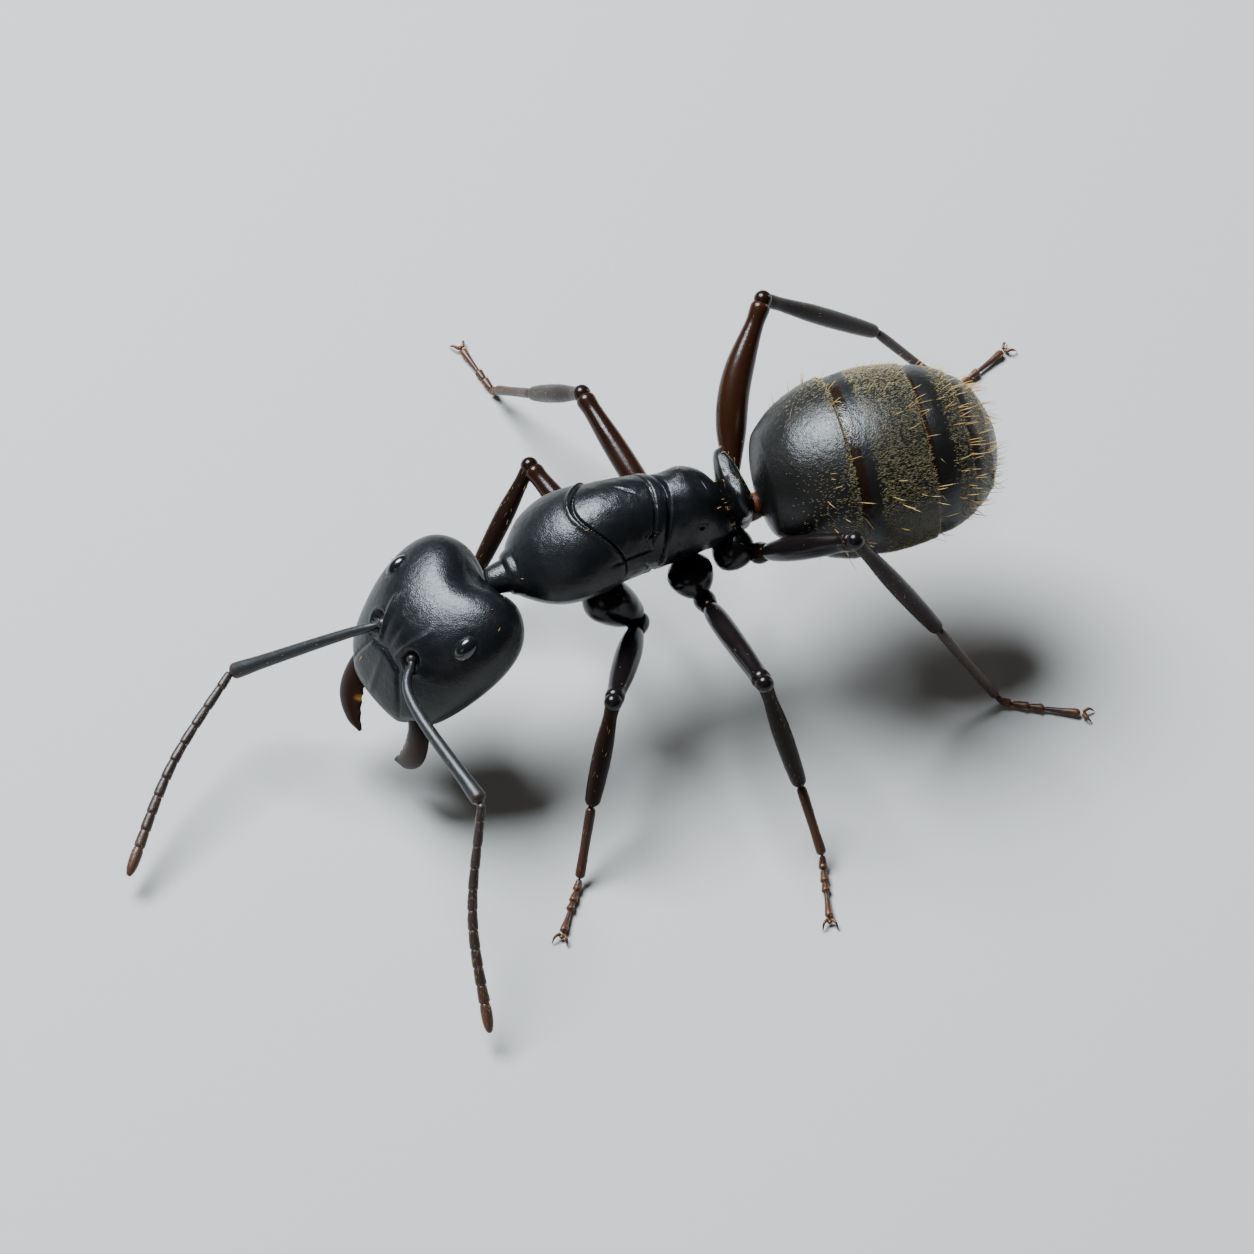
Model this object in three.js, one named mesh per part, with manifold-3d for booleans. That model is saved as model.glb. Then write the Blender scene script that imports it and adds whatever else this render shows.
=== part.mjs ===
// A carpenter ant worker standing with raised body and lowered head, life size.
// Millimetres. The ant faces -Y, its left side is +X, the floor is under its feet.
import * as THREE from "three";
import { ParametricGeometry } from "three/addons/geometries/ParametricGeometry.js";
import { mergeVertices } from "three/addons/utils/BufferGeometryUtils.js";
import Module from "manifold-3d";

const wasm = await Module();
wasm.setup();

// Joint cut between neighbouring plates.
const GAP = 0.06;

// Head: the middle of its rear face, how it is turned, and its size.
const HEAD_AT = [-0.12, -2.24, 3.82];
const HEAD_YAW = 11.6;
const HEAD_PITCH = 39.7;
const HEAD_LENGTH = 2.92;
const HEAD_HALF_WIDTH = 1.45;
const HEAD_TOP = 0.9;
const HEAD_UNDER = 0.94;
const OCCIPUT_NOTCH = 0.24;
const EYE_AT = [1.03, 1.0, 0.5];
const EYE_HALF = [0.17, 0.27, 0.22];
const SOCKET_AT = [0.45, 1.78, 0.66];

// Mesosoma: the whole thorax hull from the collar to the propodeum.
const COLLAR_Y = -2.02;
const MESOSOMA_LENGTH = 4.07;
const PRO_SUTURE_Y = -0.79;
const METANOTAL_Y = 0.86;

// Petiole scale and gaster.
const PETIOLE_FOOT = [0.02, 2.26, 3.12];
const PETIOLE_CREST = [0.02, 2.04, 4.62];
const GASTER_FRONT = [0.03, 2.5, 4.0];
const GASTER_REAR = [0.52, 6.64, 4.02];
const GASTER_HALF_WIDTH = 1.64;
const GASTER_HALF_HEIGHT = 1.48;
const GASTER_SUTURES = [0, 0.345, 0.67, 0.845, 0.94, 1];

// Thickness of the slender limbs.
const FEMUR_RADIUS = 0.29;
const LIMB_RADIUS = 0.255;
const FOOT_RADIUS = 0.255;
const FLOOR_Z = 0;

// Every leg: coxa base, trochanter, knee, tibia end, basitarsus end, foot.
const LEGS = {
  l1: [
    [0.42, -0.62, 3.12],
    [0.48, 0.23, 2.08],
    [2.51, -1.06, 2.82],
    [3.19, -1.74, 1.13],
    [3.85, -2.23, 0.3],
    [4.73, -2.88, 0.17],
  ],
  r1: [
    [-0.42, -0.62, 3.12],
    [-0.48, 0.23, 2.08],
    [-2.82, -0.46, 2.68],
    [-2.09, -1.75, 1.25],
    [-2.0, -2.5, 0.32],
    [-2.3, -3.4, 0.17],
  ],
  l2: [
    [0.46, 1.02, 3.25],
    [0.73, 1.24, 2.48],
    [3.53, 1.23, 3.43],
    [4.02, 1.68, 1.02],
    [5.0, 1.68, 0.4],
    [6.12, 1.34, 0.17],
  ],
  r2: [
    [-0.46, 1.02, 3.25],
    [-0.73, 1.24, 2.48],
    [-3.55, 0.79, 3.21],
    [-5.27, 0.53, 1.4],
    [-6.43, 0.3, 0.42],
    [-7.68, 0.12, 0.17],
  ],
  l3: [
    [0.42, 1.6, 3.34],
    [0.6, 2.26, 2.98],
    [2.81, 3.13, 5.47],
    [2.67, 4.73, 2.17],
    [3.01, 5.7, 0.38],
    [3.77, 6.94, 0.17],
  ],
  r3: [
    [-0.42, 1.6, 3.34],
    [-0.6, 2.26, 2.98],
    [-3.02, 3.89, 4.88],
    [-3.7, 6.28, 2.18],
    [-3.5, 7.58, 0.42],
    [-4.05, 8.87, 0.17],
  ],
};

// Antennae: elbow, middle and tip of the funiculus in the ant's frame.
const ANTENNAE = {
  l: [
    [3.8, -3.89, 3.07],
    [5.0, -4.55, 1.72],
    [6.4, -4.82, 0.44],
  ],
  r: [
    [-1.33, -6.46, 1.68],
    [-0.2, -7.95, 1.2],
    [1.15, -9.24, 0.46],
  ],
};

// How far the middle of a femur or of a scape stands off the straight line.
const FEMUR_BOW = { r3: [-0.08, -0.2, 0] };
const SCAPE_BOW = { l: [-0.12, -0.32, 0], r: [0, 0, 0.04] };

const UP = new THREE.Vector3(0, 0, 1);

function point(list) {
  return new THREE.Vector3(...list);
}

// A smooth curve through [position, value] stations.
function along(stations, t) {
  const last = stations.length - 1;
  let i = 0;
  while (i < last - 1 && t > stations[i + 1][0]) i++;
  const [t0, v0] = stations[i];
  const [t1, v1] = stations[i + 1];
  const before = stations[Math.max(i - 1, 0)];
  const after = stations[Math.min(i + 2, last)];
  const span = t1 - t0;
  const slope0 = ((v1 - before[1]) / (t1 - before[0])) * span;
  const slope1 = ((after[1] - v0) / (after[0] - t0)) * span;
  const s = THREE.MathUtils.clamp((t - t0) / span, 0, 1);
  const s2 = s * s;
  const s3 = s2 * s;
  return (
    (2 * s3 - 3 * s2 + 1) * v0 +
    (s3 - 2 * s2 + s) * slope0 +
    (3 * s2 - 2 * s3) * v1 +
    (s3 - s2) * slope1
  );
}

// Closes the surface of a geometry and turns it into a solid.
function solidOf(geometry) {
  const bare = new THREE.BufferGeometry();
  bare.setAttribute("position", geometry.getAttribute("position"));
  bare.setIndex(geometry.index);
  const merged = mergeVertices(bare, 1e-4);
  const corners = merged.index.array;
  const kept = [];
  for (let i = 0; i < corners.length; i += 3) {
    const [a, b, c] = [corners[i], corners[i + 1], corners[i + 2]];
    if (a !== b && b !== c && a !== c) kept.push(a, b, c);
  }
  const build = (triangles) =>
    new wasm.Manifold(
      new wasm.Mesh({
        numProp: 3,
        vertProperties: merged.getAttribute("position").array,
        triVerts: new Uint32Array(triangles),
      }),
    );
  const made = build(kept);
  return made.volume() > 0 ? made : build([...kept].reverse());
}

// Places of a hull's rings: crowded at both ends for a rounded closure.
function roundEnds(count) {
  const places = [];
  for (let i = 0; i <= count; i++) places.push((1 - Math.cos((Math.PI * i) / count)) / 2);
  return places;
}

// A closed hull round a straight or bent path. size(t) gives the half width
// and the heights above and below the path; shift(t, side) moves a ring's points.
function hull(path, up, size, places, sides, squareness = 2, shift = null) {
  const wide = new THREE.Vector3();
  const high = new THREE.Vector3();
  const rings = places.length - 1;
  const geometry = new ParametricGeometry(
    (u, v, target) => {
      const ring = Math.round(v * rings);
      const t = places[ring];
      const angle = 2 * Math.PI * (u % 1);
      const tangent = path.getTangentAt(t);
      wide.crossVectors(tangent, up).normalize();
      high.crossVectors(wide, tangent);
      const [half, above, below] = size(t, ring === 0 || ring === rings);
      const round = (x) => Math.sign(x) * Math.abs(x) ** (2 / squareness);
      const across = round(Math.cos(angle));
      const upward = round(Math.sin(angle));
      target.copy(path.getPointAt(t));
      target.addScaledVector(wide, half * across);
      target.addScaledVector(high, (upward > 0 ? above : below) * upward);
      if (shift) target.addScaledVector(tangent, shift(t, half * across, upward));
    },
    sides,
    rings,
  );
  return solidOf(geometry);
}

// How a rounded end closes: 0 at both ends, 1 between.
function blunt(t, power) {
  return Math.max(0, 1 - Math.abs(2 * t - 1) ** power) ** (1 / power);
}

// A slender tapered limb through the given points, with half-round ends.
function limb(points, radii, rings, sides) {
  const path =
    points.length === 2
      ? new THREE.LineCurve3(points[0], points[1])
      : new THREE.CatmullRomCurve3(points, false, "centripetal");
  const length = path.getLength();
  const reach = Math.min(radii[0][1] / length, 0.42);
  const cap = [0, 0.25, 1].map((d) => d * reach);
  const places = [...cap];
  for (let i = 1; i < rings; i++)
    places.push(cap[2] + ((1 - 2 * cap[2]) * i) / rings);
  places.push(...cap.map((d) => 1 - d).reverse());
  const size = (t) => {
    const near = Math.min(1, Math.min(t, 1 - t) / cap[2]);
    const r = along(radii, t) * Math.sqrt(1 - (1 - near) ** 2);
    return [r, r, r];
  };
  return hull(path, UP, size, places, sides);
}

function ball(centre, radii, around = 14) {
  const geometry = new THREE.SphereGeometry(1, around, around - 4);
  geometry.scale(...radii);
  geometry.translate(...centre);
  return solidOf(geometry);
}

const parts = [];

function add(name, solid, look) {
  const mesh = solid.getMesh();
  const geometry = new THREE.BufferGeometry();
  geometry.setAttribute(
    "position",
    new THREE.BufferAttribute(mesh.vertProperties, mesh.numProp),
  );
  geometry.setIndex(new THREE.BufferAttribute(mesh.triVerts, 1));
  const made = new THREE.Mesh(geometry, new THREE.MeshStandardMaterial(look));
  made.name = name;
  parts.push(made);
}

const SHELL = { color: 0x1b1e22, roughness: 0.42, metalness: 0 };
const LEG_SHELL = { color: 0x35140a, roughness: 0.3, metalness: 0 };
const FOOT_SHELL = { color: 0x54240f, roughness: 0.35, metalness: 0 };
const JAW_SHELL = { color: 0x3a120a, roughness: 0.28, metalness: 0 };
const EYE_SHELL = { color: 0x0b0c0e, roughness: 0.2, metalness: 0 };
const GASTER_SHELL = { color: 0x1d1a18, roughness: 0.4, metalness: 0 };

// ---- Head, built in its own frame: x left, y forward, z dorsal ----

const headFrame = new THREE.Matrix4()
  .makeTranslation(...HEAD_AT)
  .multiply(new THREE.Matrix4().makeRotationZ(THREE.MathUtils.degToRad(HEAD_YAW)))
  .multiply(new THREE.Matrix4().makeRotationX(THREE.MathUtils.degToRad(HEAD_PITCH)))
  .multiply(new THREE.Matrix4().makeScale(1, -1, 1));

function headPoint(list) {
  return point(list).applyMatrix4(headFrame);
}

// Carries a solid from the head's frame to the ant's.
function fromHead(solid) {
  return solid.transform(headFrame.elements);
}

const HEAD_WIDTHS = [
  [0, 0.82],
  [0.12, 0.94],
  [0.3, 1],
  [0.5, 0.97],
  [0.75, 0.86],
  [0.92, 0.74],
  [1, 0.64],
];
const HEAD_TOPS = [
  [0, 0.55],
  [0.15, 0.8],
  [0.45, 1],
  [0.7, 0.8],
  [0.9, 0.5],
  [1, 0.36],
];
const HEAD_UNDERS = [
  [0, 0.6],
  [0.2, 0.95],
  [0.5, 1],
  [0.8, 0.72],
  [1, 0.42],
];

function headHull() {
  const path = new THREE.LineCurve3(point([0, 0, 0]), point([0, HEAD_LENGTH, 0]));
  const size = (t) => {
    const end = blunt(t, 5);
    return [
      HEAD_HALF_WIDTH * along(HEAD_WIDTHS, t) * end,
      HEAD_TOP * along(HEAD_TOPS, t) * end,
      HEAD_UNDER * along(HEAD_UNDERS, t) * end,
    ];
  };
  const notch = (t, x) => {
    const rear = Math.max(0, 1 - t / 0.5) ** 2;
    return OCCIPUT_NOTCH * rear * Math.exp(-((x / 0.5) ** 2));
  };
  return hull(path, UP, size, roundEnds(15), 22, 2.2, notch);
}

function mandible(side, open, lean) {
  const outline = new THREE.Shape();
  outline.moveTo(-0.17, -0.12);
  outline.bezierCurveTo(-0.26, 0.4, -0.08, 0.95, 0.5, 1.16);
  outline.lineTo(0.44, 0.98);
  outline.lineTo(0.52, 0.92);
  outline.lineTo(0.4, 0.8);
  outline.lineTo(0.46, 0.72);
  outline.lineTo(0.34, 0.6);
  outline.lineTo(0.4, 0.5);
  outline.bezierCurveTo(0.26, 0.4, 0.2, 0.2, 0.19, -0.08);
  const plate = new THREE.ExtrudeGeometry(outline, {
    depth: 0.2,
    bevelEnabled: true,
    bevelThickness: 0.05,
    bevelSize: 0.04,
    bevelSegments: 1,
    curveSegments: 5,
  });
  plate.translate(0, 0, -0.1);
  plate.rotateZ(THREE.MathUtils.degToRad(open));
  plate.rotateX(THREE.MathUtils.degToRad(lean));
  const jaw = solidOf(plate).translate([-0.74, 2.6, -0.1]);
  return side > 0 ? jaw.mirror([1, 0, 0]) : jaw;
}

const jawL = mandible(1, 14, -34);
const jawR = mandible(-1, -8, -14);
const mouth = ball([0, 2.5, -0.42], [0.5, 0.34, 0.24], 10);
const eyes = { l: 1, r: -1 };

let head = headHull();
for (const side of Object.values(eyes)) {
  const [x, y, z] = EYE_AT;
  const [a, b, c] = EYE_HALF;
  head = head.subtract(ball([side * x, y, z], [a + GAP, b + GAP, c + GAP], 9));
}
for (const side of [1, -1]) {
  const [x, y, z] = SOCKET_AT;
  head = head.subtract(ball([side * x, y, z + 0.14], [0.36, 0.4, 0.24], 8));
}
for (const side of [1, -1])
  head = head.subtract(ball([side * 0.74, 2.6, -0.1], [0.3, 0.3, 0.24], 8));

// ---- Mesosoma ----

const MESO_TOPS = [
  [0, 4.0],
  [0.06, 4.2],
  [0.14, 4.48],
  [0.27, 4.76],
  [0.45, 4.9],
  [0.62, 4.86],
  [0.72, 4.74],
  [0.82, 4.77],
  [0.92, 4.45],
  [1, 3.85],
];
const MESO_BOTTOMS = [
  [0, 3.36],
  [0.1, 3.16],
  [0.25, 2.98],
  [0.5, 2.92],
  [0.8, 2.92],
  [1, 3.18],
];
const MESO_WIDTHS = [
  [0, 0.36],
  [0.06, 0.6],
  [0.14, 0.88],
  [0.26, 1.03],
  [0.38, 0.98],
  [0.5, 0.86],
  [0.62, 0.78],
  [0.72, 0.71],
  [0.84, 0.7],
  [0.94, 0.62],
  [1, 0.48],
];

function mesoHull() {
  const middle = (t) => (along(MESO_TOPS, t) + along(MESO_BOTTOMS, t)) / 2;
  const path = new THREE.LineCurve3(
    point([0, COLLAR_Y, 0]),
    point([0, COLLAR_Y + MESOSOMA_LENGTH, 0]),
  );
  const geometry = new ParametricGeometry(
    (u, v, target) => {
      const t = (1 - Math.cos(Math.PI * v)) / 2;
      const angle = 2 * Math.PI * (u % 1);
      const end = blunt(t, 7);
      const high = ((along(MESO_TOPS, t) - along(MESO_BOTTOMS, t)) / 2) * end;
      const wide = along(MESO_WIDTHS, t) * end;
      const upward = Math.sin(angle);
      const belly = upward < 0 ? 0.72 + 0.28 * (1 + upward) : 1;
      target.copy(path.getPointAt(t));
      target.x += wide * belly * Math.cos(angle);
      target.z += middle(t) + high * upward;
    },
    20,
    19,
  );
  return solidOf(geometry);
}

// A thin wall across the mesosoma, bowed forward over the back.
function sutureWall(y, bow, lean) {
  const geometry = new ParametricGeometry(
    (u, v, target) => {
      const x = 1.6 * (2 * u - 1);
      const z = 2.4 + 3 * v;
      target.set(x, y + bow * Math.min(x * x, 0.8) + lean * (z - 4.6), z);
    },
    8,
    4,
  );
  const sheet = mergeVertices(geometry, 1e-4);
  return wallOf(sheet, GAP);
}

// Thickens a sheet along Y into a closed wall.
function wallOf(sheet, thickness) {
  const spots = sheet.getAttribute("position");
  const corners = [...sheet.index.array];
  const count = spots.count;
  const all = new Float32Array(count * 6);
  for (let i = 0; i < count; i++) {
    const [x, y, z] = [spots.getX(i), spots.getY(i), spots.getZ(i)];
    all.set([x, y - thickness / 2, z], i * 3);
    all.set([x, y + thickness / 2, z], (count + i) * 3);
  }
  const edges = new Set();
  for (let i = 0; i < corners.length; i += 3)
    for (let k = 0; k < 3; k++)
      edges.add(corners[i + k] + "," + corners[i + ((k + 1) % 3)]);
  const faces = [...corners];
  for (let i = 0; i < corners.length; i += 3)
    faces.push(corners[i + 2] + count, corners[i + 1] + count, corners[i] + count);
  for (const edge of edges) {
    const [a, b] = edge.split(",").map(Number);
    if (!edges.has(b + "," + a)) faces.push(b, a, a + count, b, a + count, b + count);
  }
  const solid = new THREE.BufferGeometry();
  solid.setAttribute("position", new THREE.BufferAttribute(all, 3));
  solid.setIndex(faces);
  return solidOf(solid);
}

const proWall = sutureWall(PRO_SUTURE_Y, 0.95, 0.2);
const metaWall = sutureWall(METANOTAL_Y, -0.3, 0.18);
const neck = hull(
  new THREE.LineCurve3(point([0, -1.7, 3.7]), point([-0.06, -2.3, 3.62])),
  UP,
  (t) => [0.36 * blunt(t, 8), 0.3 * blunt(t, 8), 0.3 * blunt(t, 8)],
  roundEnds(5),
  12,
);
const neckSeat = hull(
  new THREE.LineCurve3(point([0, -1.6, 3.71]), point([-0.07, -2.38, 3.61])),
  UP,
  (t) => [0.42 * blunt(t, 8), 0.36 * blunt(t, 8), 0.36 * blunt(t, 8)],
  roundEnds(5),
  12,
);

const plates = mesoHull().add(neck).subtract(proWall).subtract(metaWall).decompose();
plates.sort((a, b) => a.boundingBox().min[1] - b.boundingBox().min[1]);
let [prothorax, mesothorax, propodeum] = plates;

head = fromHead(head).subtract(neckSeat);

// ---- Petiole and gaster ----

const SCALE_WIDTHS = [
  [0, 0.26],
  [0.35, 0.4],
  [0.75, 0.68],
  [1, 0.6],
];
const SCALE_DEPTHS = [
  [0, 0.24],
  [0.4, 0.27],
  [1, 0.16],
];

// The upright scale of the petiole, or the room it takes with a margin.
function petioleScale(margin) {
  const size = (t) => {
    const end = blunt(t, 5);
    const deep = (along(SCALE_DEPTHS, t) + margin) * end;
    return [(along(SCALE_WIDTHS, t) + margin) * end, deep, deep];
  };
  return hull(
    new THREE.LineCurve3(point(PETIOLE_FOOT), point(PETIOLE_CREST)),
    new THREE.Vector3(0, 1, 0),
    size,
    roundEnds(9),
    14,
    2.3,
  );
}

let petiole = petioleScale(0);
const stalk = hull(
  new THREE.LineCurve3(point([0.0, 1.75, 3.42]), point([0.03, 2.75, 3.5])),
  UP,
  (t) => [0.25 * blunt(t, 8), 0.24 * blunt(t, 8), 0.24 * blunt(t, 8)],
  roundEnds(5),
  12,
);
const stalkSeat = hull(
  new THREE.LineCurve3(point([0.0, 1.68, 3.42]), point([0.035, 2.82, 3.5])),
  UP,
  (t) => [0.31 * blunt(t, 8), 0.3 * blunt(t, 8), 0.3 * blunt(t, 8)],
  roundEnds(5),
  12,
);
petiole = petiole.add(stalk);
propodeum = propodeum.subtract(stalkSeat).subtract(petioleScale(GAP));

const GASTER_PROFILE = [
  [0, 0.44],
  [0.06, 0.62],
  [0.15, 0.81],
  [0.3, 0.97],
  [0.45, 1],
  [0.6, 0.98],
  [0.75, 0.89],
  [0.88, 0.7],
  [1, 0.36],
];

function gasterSegment(index) {
  const front = point(GASTER_FRONT);
  const rear = point(GASTER_REAR);
  const length = front.distanceTo(rear);
  const cut = GAP / 2 / length;
  const from = GASTER_SUTURES[index] + (index ? cut : 0);
  const to = GASTER_SUTURES[index + 1] - cut;
  const path = new THREE.LineCurve3(
    front.clone().lerp(rear, from),
    front.clone().lerp(rear, to),
  );
  const first = index === 0;
  const last = index === GASTER_SUTURES.length - 2;
  const places = [0, 0, 0.1, 0.35, 0.7, 1, 1];
  if (first) places.splice(1, 3, 0.02, 0.08, 0.18, 0.35);
  if (last) places.splice(4, 3, 0.6, 0.85, 0.97, 1);
  const size = (t, pole) => {
    const s = from + (to - from) * t;
    const whole = first ? Math.sqrt(1 - (1 - Math.min(1, t / 0.12)) ** 2) : 1;
    const tip = last ? Math.sqrt(1 - t * t) : 1;
    const lip = first ? 1 : 0.965 + 0.035 * t;
    const r = pole ? 0 : along(GASTER_PROFILE, s) * lip * whole * tip;
    return [GASTER_HALF_WIDTH * r, GASTER_HALF_HEIGHT * r, GASTER_HALF_HEIGHT * r];
  };
  return hull(path, UP, size, places, 20);
}

const gaster = [0, 1, 2, 3, 4].map(gasterSegment);
gaster[0] = gaster[0].subtract(stalkSeat).subtract(
  ball([0.02, 2.27, 3.9], [0.68, 0.4, 0.9], 12),
);

// ---- Legs ----

const legParts = {};
for (const [name, joints] of Object.entries(LEGS)) {
  const [hip, trochanter, knee, ankle, bend, foot] = joints.map(point);
  const hind = name.endsWith("3");
  const coxa = limb(
    [hip, trochanter],
    [
      [0, 0.42],
      [0.5, 0.38],
      [1, 0.27],
    ],
    4,
    9,
  );
  const bow = point(FEMUR_BOW[name] ?? [0, 0, 0]);
  const thigh = [trochanter, trochanter.clone().lerp(knee, 0.5).add(bow), knee];
  const femur = limb(
    thigh,
    [
      [0, 0.25],
      [0.12, 0.26],
      [0.4, hind ? FEMUR_RADIUS : FEMUR_RADIUS + 0.01],
      [1, 0.25],
    ],
    5,
    8,
  );
  const wrap = limb(
    thigh,
    [
      [0, 0.31],
      [0.4, FEMUR_RADIUS + GAP],
      [1, 0.31],
    ],
    5,
    8,
  );
  const tibia = limb([knee, ankle], [[0, LIMB_RADIUS], [1, LIMB_RADIUS]], 2, 8);
  const shin = limb([knee, ankle], [[0, LIMB_RADIUS + GAP], [1, LIMB_RADIUS + GAP]], 2, 8);
  const tarsus = limb(
    [ankle, bend, foot],
    [[0, FOOT_RADIUS], [1, FOOT_RADIUS]],
    6,
    8,
  ).trimByPlane([0, 0, 1], FLOOR_Z);
  legParts[name] = {
    coxa: coxa.subtract(wrap),
    femur,
    tibia: tibia.subtract(wrap),
    tarsus: tarsus.subtract(shin),
  };
}

// ---- Antennae ----

const antennae = {};
for (const [name, joints] of Object.entries(ANTENNAE)) {
  const sign = name === "l" ? 1 : -1;
  const [x, y, z] = SOCKET_AT;
  const root = headPoint([sign * x, y, z + 0.02]);
  const [elbow, middle, tip] = joints.map(point);
  const bowed = root.clone().lerp(elbow, 0.3).add(point(SCAPE_BOW[name]));
  const scape = limb([root, bowed, elbow], [[0, 0.25], [1, 0.255]], 5, 8);
  const wrap = limb([root, bowed, elbow], [[0, 0.31], [1, 0.315]], 5, 8);
  const funiculus = limb([elbow, middle, tip], [[0, 0.25], [1, 0.255]], 6, 8);
  antennae[name] = { scape, wrap, funiculus: funiculus.subtract(wrap) };
}

// ---- Assembly ----

const wrapHead = fromHead(jawL).add(fromHead(jawR));
for (const { wrap } of Object.values(antennae)) head = head.subtract(wrap);
add("head", head.subtract(wrapHead), SHELL);
add("mandible_l", fromHead(jawL), JAW_SHELL);
add("mandible_r", fromHead(jawR), JAW_SHELL);
add("mouthparts", fromHead(mouth.subtract(headHull())).subtract(wrapHead), JAW_SHELL);
for (const [name, sign] of Object.entries(eyes)) {
  const [x, y, z] = EYE_AT;
  add("eye_" + name, fromHead(ball([sign * x, y, z], EYE_HALF, 11)), EYE_SHELL);
}
for (const [name, { scape, funiculus }] of Object.entries(antennae)) {
  add("scape_" + name, scape, LEG_SHELL);
  add("funiculus_" + name, funiculus, FOOT_SHELL);
}
for (const { coxa, femur } of Object.values(legParts)) {
  const cut = coxa.add(femur);
  prothorax = prothorax.subtract(cut);
  mesothorax = mesothorax.subtract(cut);
  propodeum = propodeum.subtract(cut);
}
add("prothorax", prothorax, SHELL);
add("mesothorax", mesothorax, SHELL);
add("propodeum", propodeum, SHELL);
add("petiole", petiole, SHELL);
gaster.forEach((segment, i) => add("gaster_" + (i + 1), segment, GASTER_SHELL));
for (const [name, leg] of Object.entries(legParts)) {
  add("coxa_" + name, leg.coxa, LEG_SHELL);
  add("femur_" + name, leg.femur, LEG_SHELL);
  add("tibia_" + name, leg.tibia, LEG_SHELL);
  add("tarsus_" + name, leg.tarsus, FOOT_SHELL);
}

const ant = new THREE.Group();
ant.name = "carpenter_ant";
ant.add(...parts);

// The origin is the middle of the footprint, on the floor.
const bounds = new THREE.Box3().setFromObject(ant);
const middle = bounds.getCenter(new THREE.Vector3());
ant.position.set(-middle.x, -middle.y, -bounds.min.z);

export default ant;
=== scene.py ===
"""A carpenter ant worker, life size.

Shapes are worked out in millimetres. The ant faces -Y and +X is its left.
"""

import math

import bpy
import numpy as np
from mathutils import Matrix, Vector


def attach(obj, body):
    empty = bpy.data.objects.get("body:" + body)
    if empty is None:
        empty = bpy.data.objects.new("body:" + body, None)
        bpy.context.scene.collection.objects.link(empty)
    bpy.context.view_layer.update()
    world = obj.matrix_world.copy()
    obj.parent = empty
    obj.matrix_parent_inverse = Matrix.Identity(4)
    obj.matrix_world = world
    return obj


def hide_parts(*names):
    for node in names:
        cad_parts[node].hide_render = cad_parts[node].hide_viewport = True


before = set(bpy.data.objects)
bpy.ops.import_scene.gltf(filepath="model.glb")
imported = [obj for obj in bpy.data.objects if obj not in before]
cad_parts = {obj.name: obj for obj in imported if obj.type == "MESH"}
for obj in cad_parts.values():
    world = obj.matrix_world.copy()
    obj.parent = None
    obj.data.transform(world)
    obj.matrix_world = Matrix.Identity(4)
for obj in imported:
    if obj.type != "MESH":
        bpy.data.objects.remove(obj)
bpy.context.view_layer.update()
rng = np.random.default_rng(11)

MM = 0.001
# Added to the shapes' places, so that the origin is the middle of the footprint.
SHIFT = np.array([0.607615, 0.220878, 0.0])

# The same sizes as the solids.
HEAD_AT = np.array([-0.12, -2.24, 3.82])
HEAD_YAW, HEAD_PITCH = math.radians(11.6), math.radians(39.7)
HEAD_LENGTH, HEAD_HALF_WIDTH, HEAD_TOP, HEAD_UNDER = 2.92, 1.45, 0.9, 0.94
OCCIPUT_NOTCH = 0.24
EYE_AT, EYE_HALF = np.array([1.03, 1.0, 0.5]), np.array([0.17, 0.27, 0.22])
SOCKET_AT = np.array([0.45, 1.78, 0.66])
COLLAR_Y, MESOSOMA_LENGTH, PRO_SUTURE_Y, METANOTAL_Y = -2.02, 4.07, -0.79, 0.86
PETIOLE_FOOT, PETIOLE_CREST = np.array([0.02, 2.26, 3.12]), np.array([0.02, 2.04, 4.62])
GASTER_FRONT, GASTER_REAR = np.array([0.03, 2.5, 4.0]), np.array([0.52, 6.64, 4.02])
GASTER_HALF_WIDTH, GASTER_HALF_HEIGHT = 1.64, 1.48
GASTER_SUTURES = [0, 0.345, 0.67, 0.845, 0.94, 1]
HEAD_WIDTHS = [(0, 0.82), (0.12, 0.94), (0.3, 1), (0.5, 0.97), (0.75, 0.86), (0.92, 0.74), (1, 0.64)]
HEAD_TOPS = [(0, 0.55), (0.15, 0.8), (0.45, 1), (0.7, 0.8), (0.9, 0.5), (1, 0.36)]
HEAD_UNDERS = [(0, 0.6), (0.2, 0.95), (0.5, 1), (0.8, 0.72), (1, 0.42)]
MESO_TOPS = [
    (0, 4.0), (0.06, 4.2), (0.14, 4.48), (0.27, 4.76), (0.45, 4.9),
    (0.62, 4.86), (0.72, 4.74), (0.82, 4.77), (0.92, 4.45), (1, 3.85),
]
MESO_BOTTOMS = [(0, 3.36), (0.1, 3.16), (0.25, 2.98), (0.5, 2.92), (0.8, 2.92), (1, 3.18)]
MESO_WIDTHS = [
    (0, 0.36), (0.06, 0.6), (0.14, 0.88), (0.26, 1.03), (0.38, 0.98),
    (0.5, 0.86), (0.62, 0.78), (0.72, 0.71), (0.84, 0.7), (0.94, 0.62), (1, 0.48),
]
GASTER_PROFILE = [
    (0, 0.44), (0.06, 0.62), (0.15, 0.81), (0.3, 0.97), (0.45, 1),
    (0.6, 0.98), (0.75, 0.89), (0.88, 0.7), (1, 0.36),
]
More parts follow.
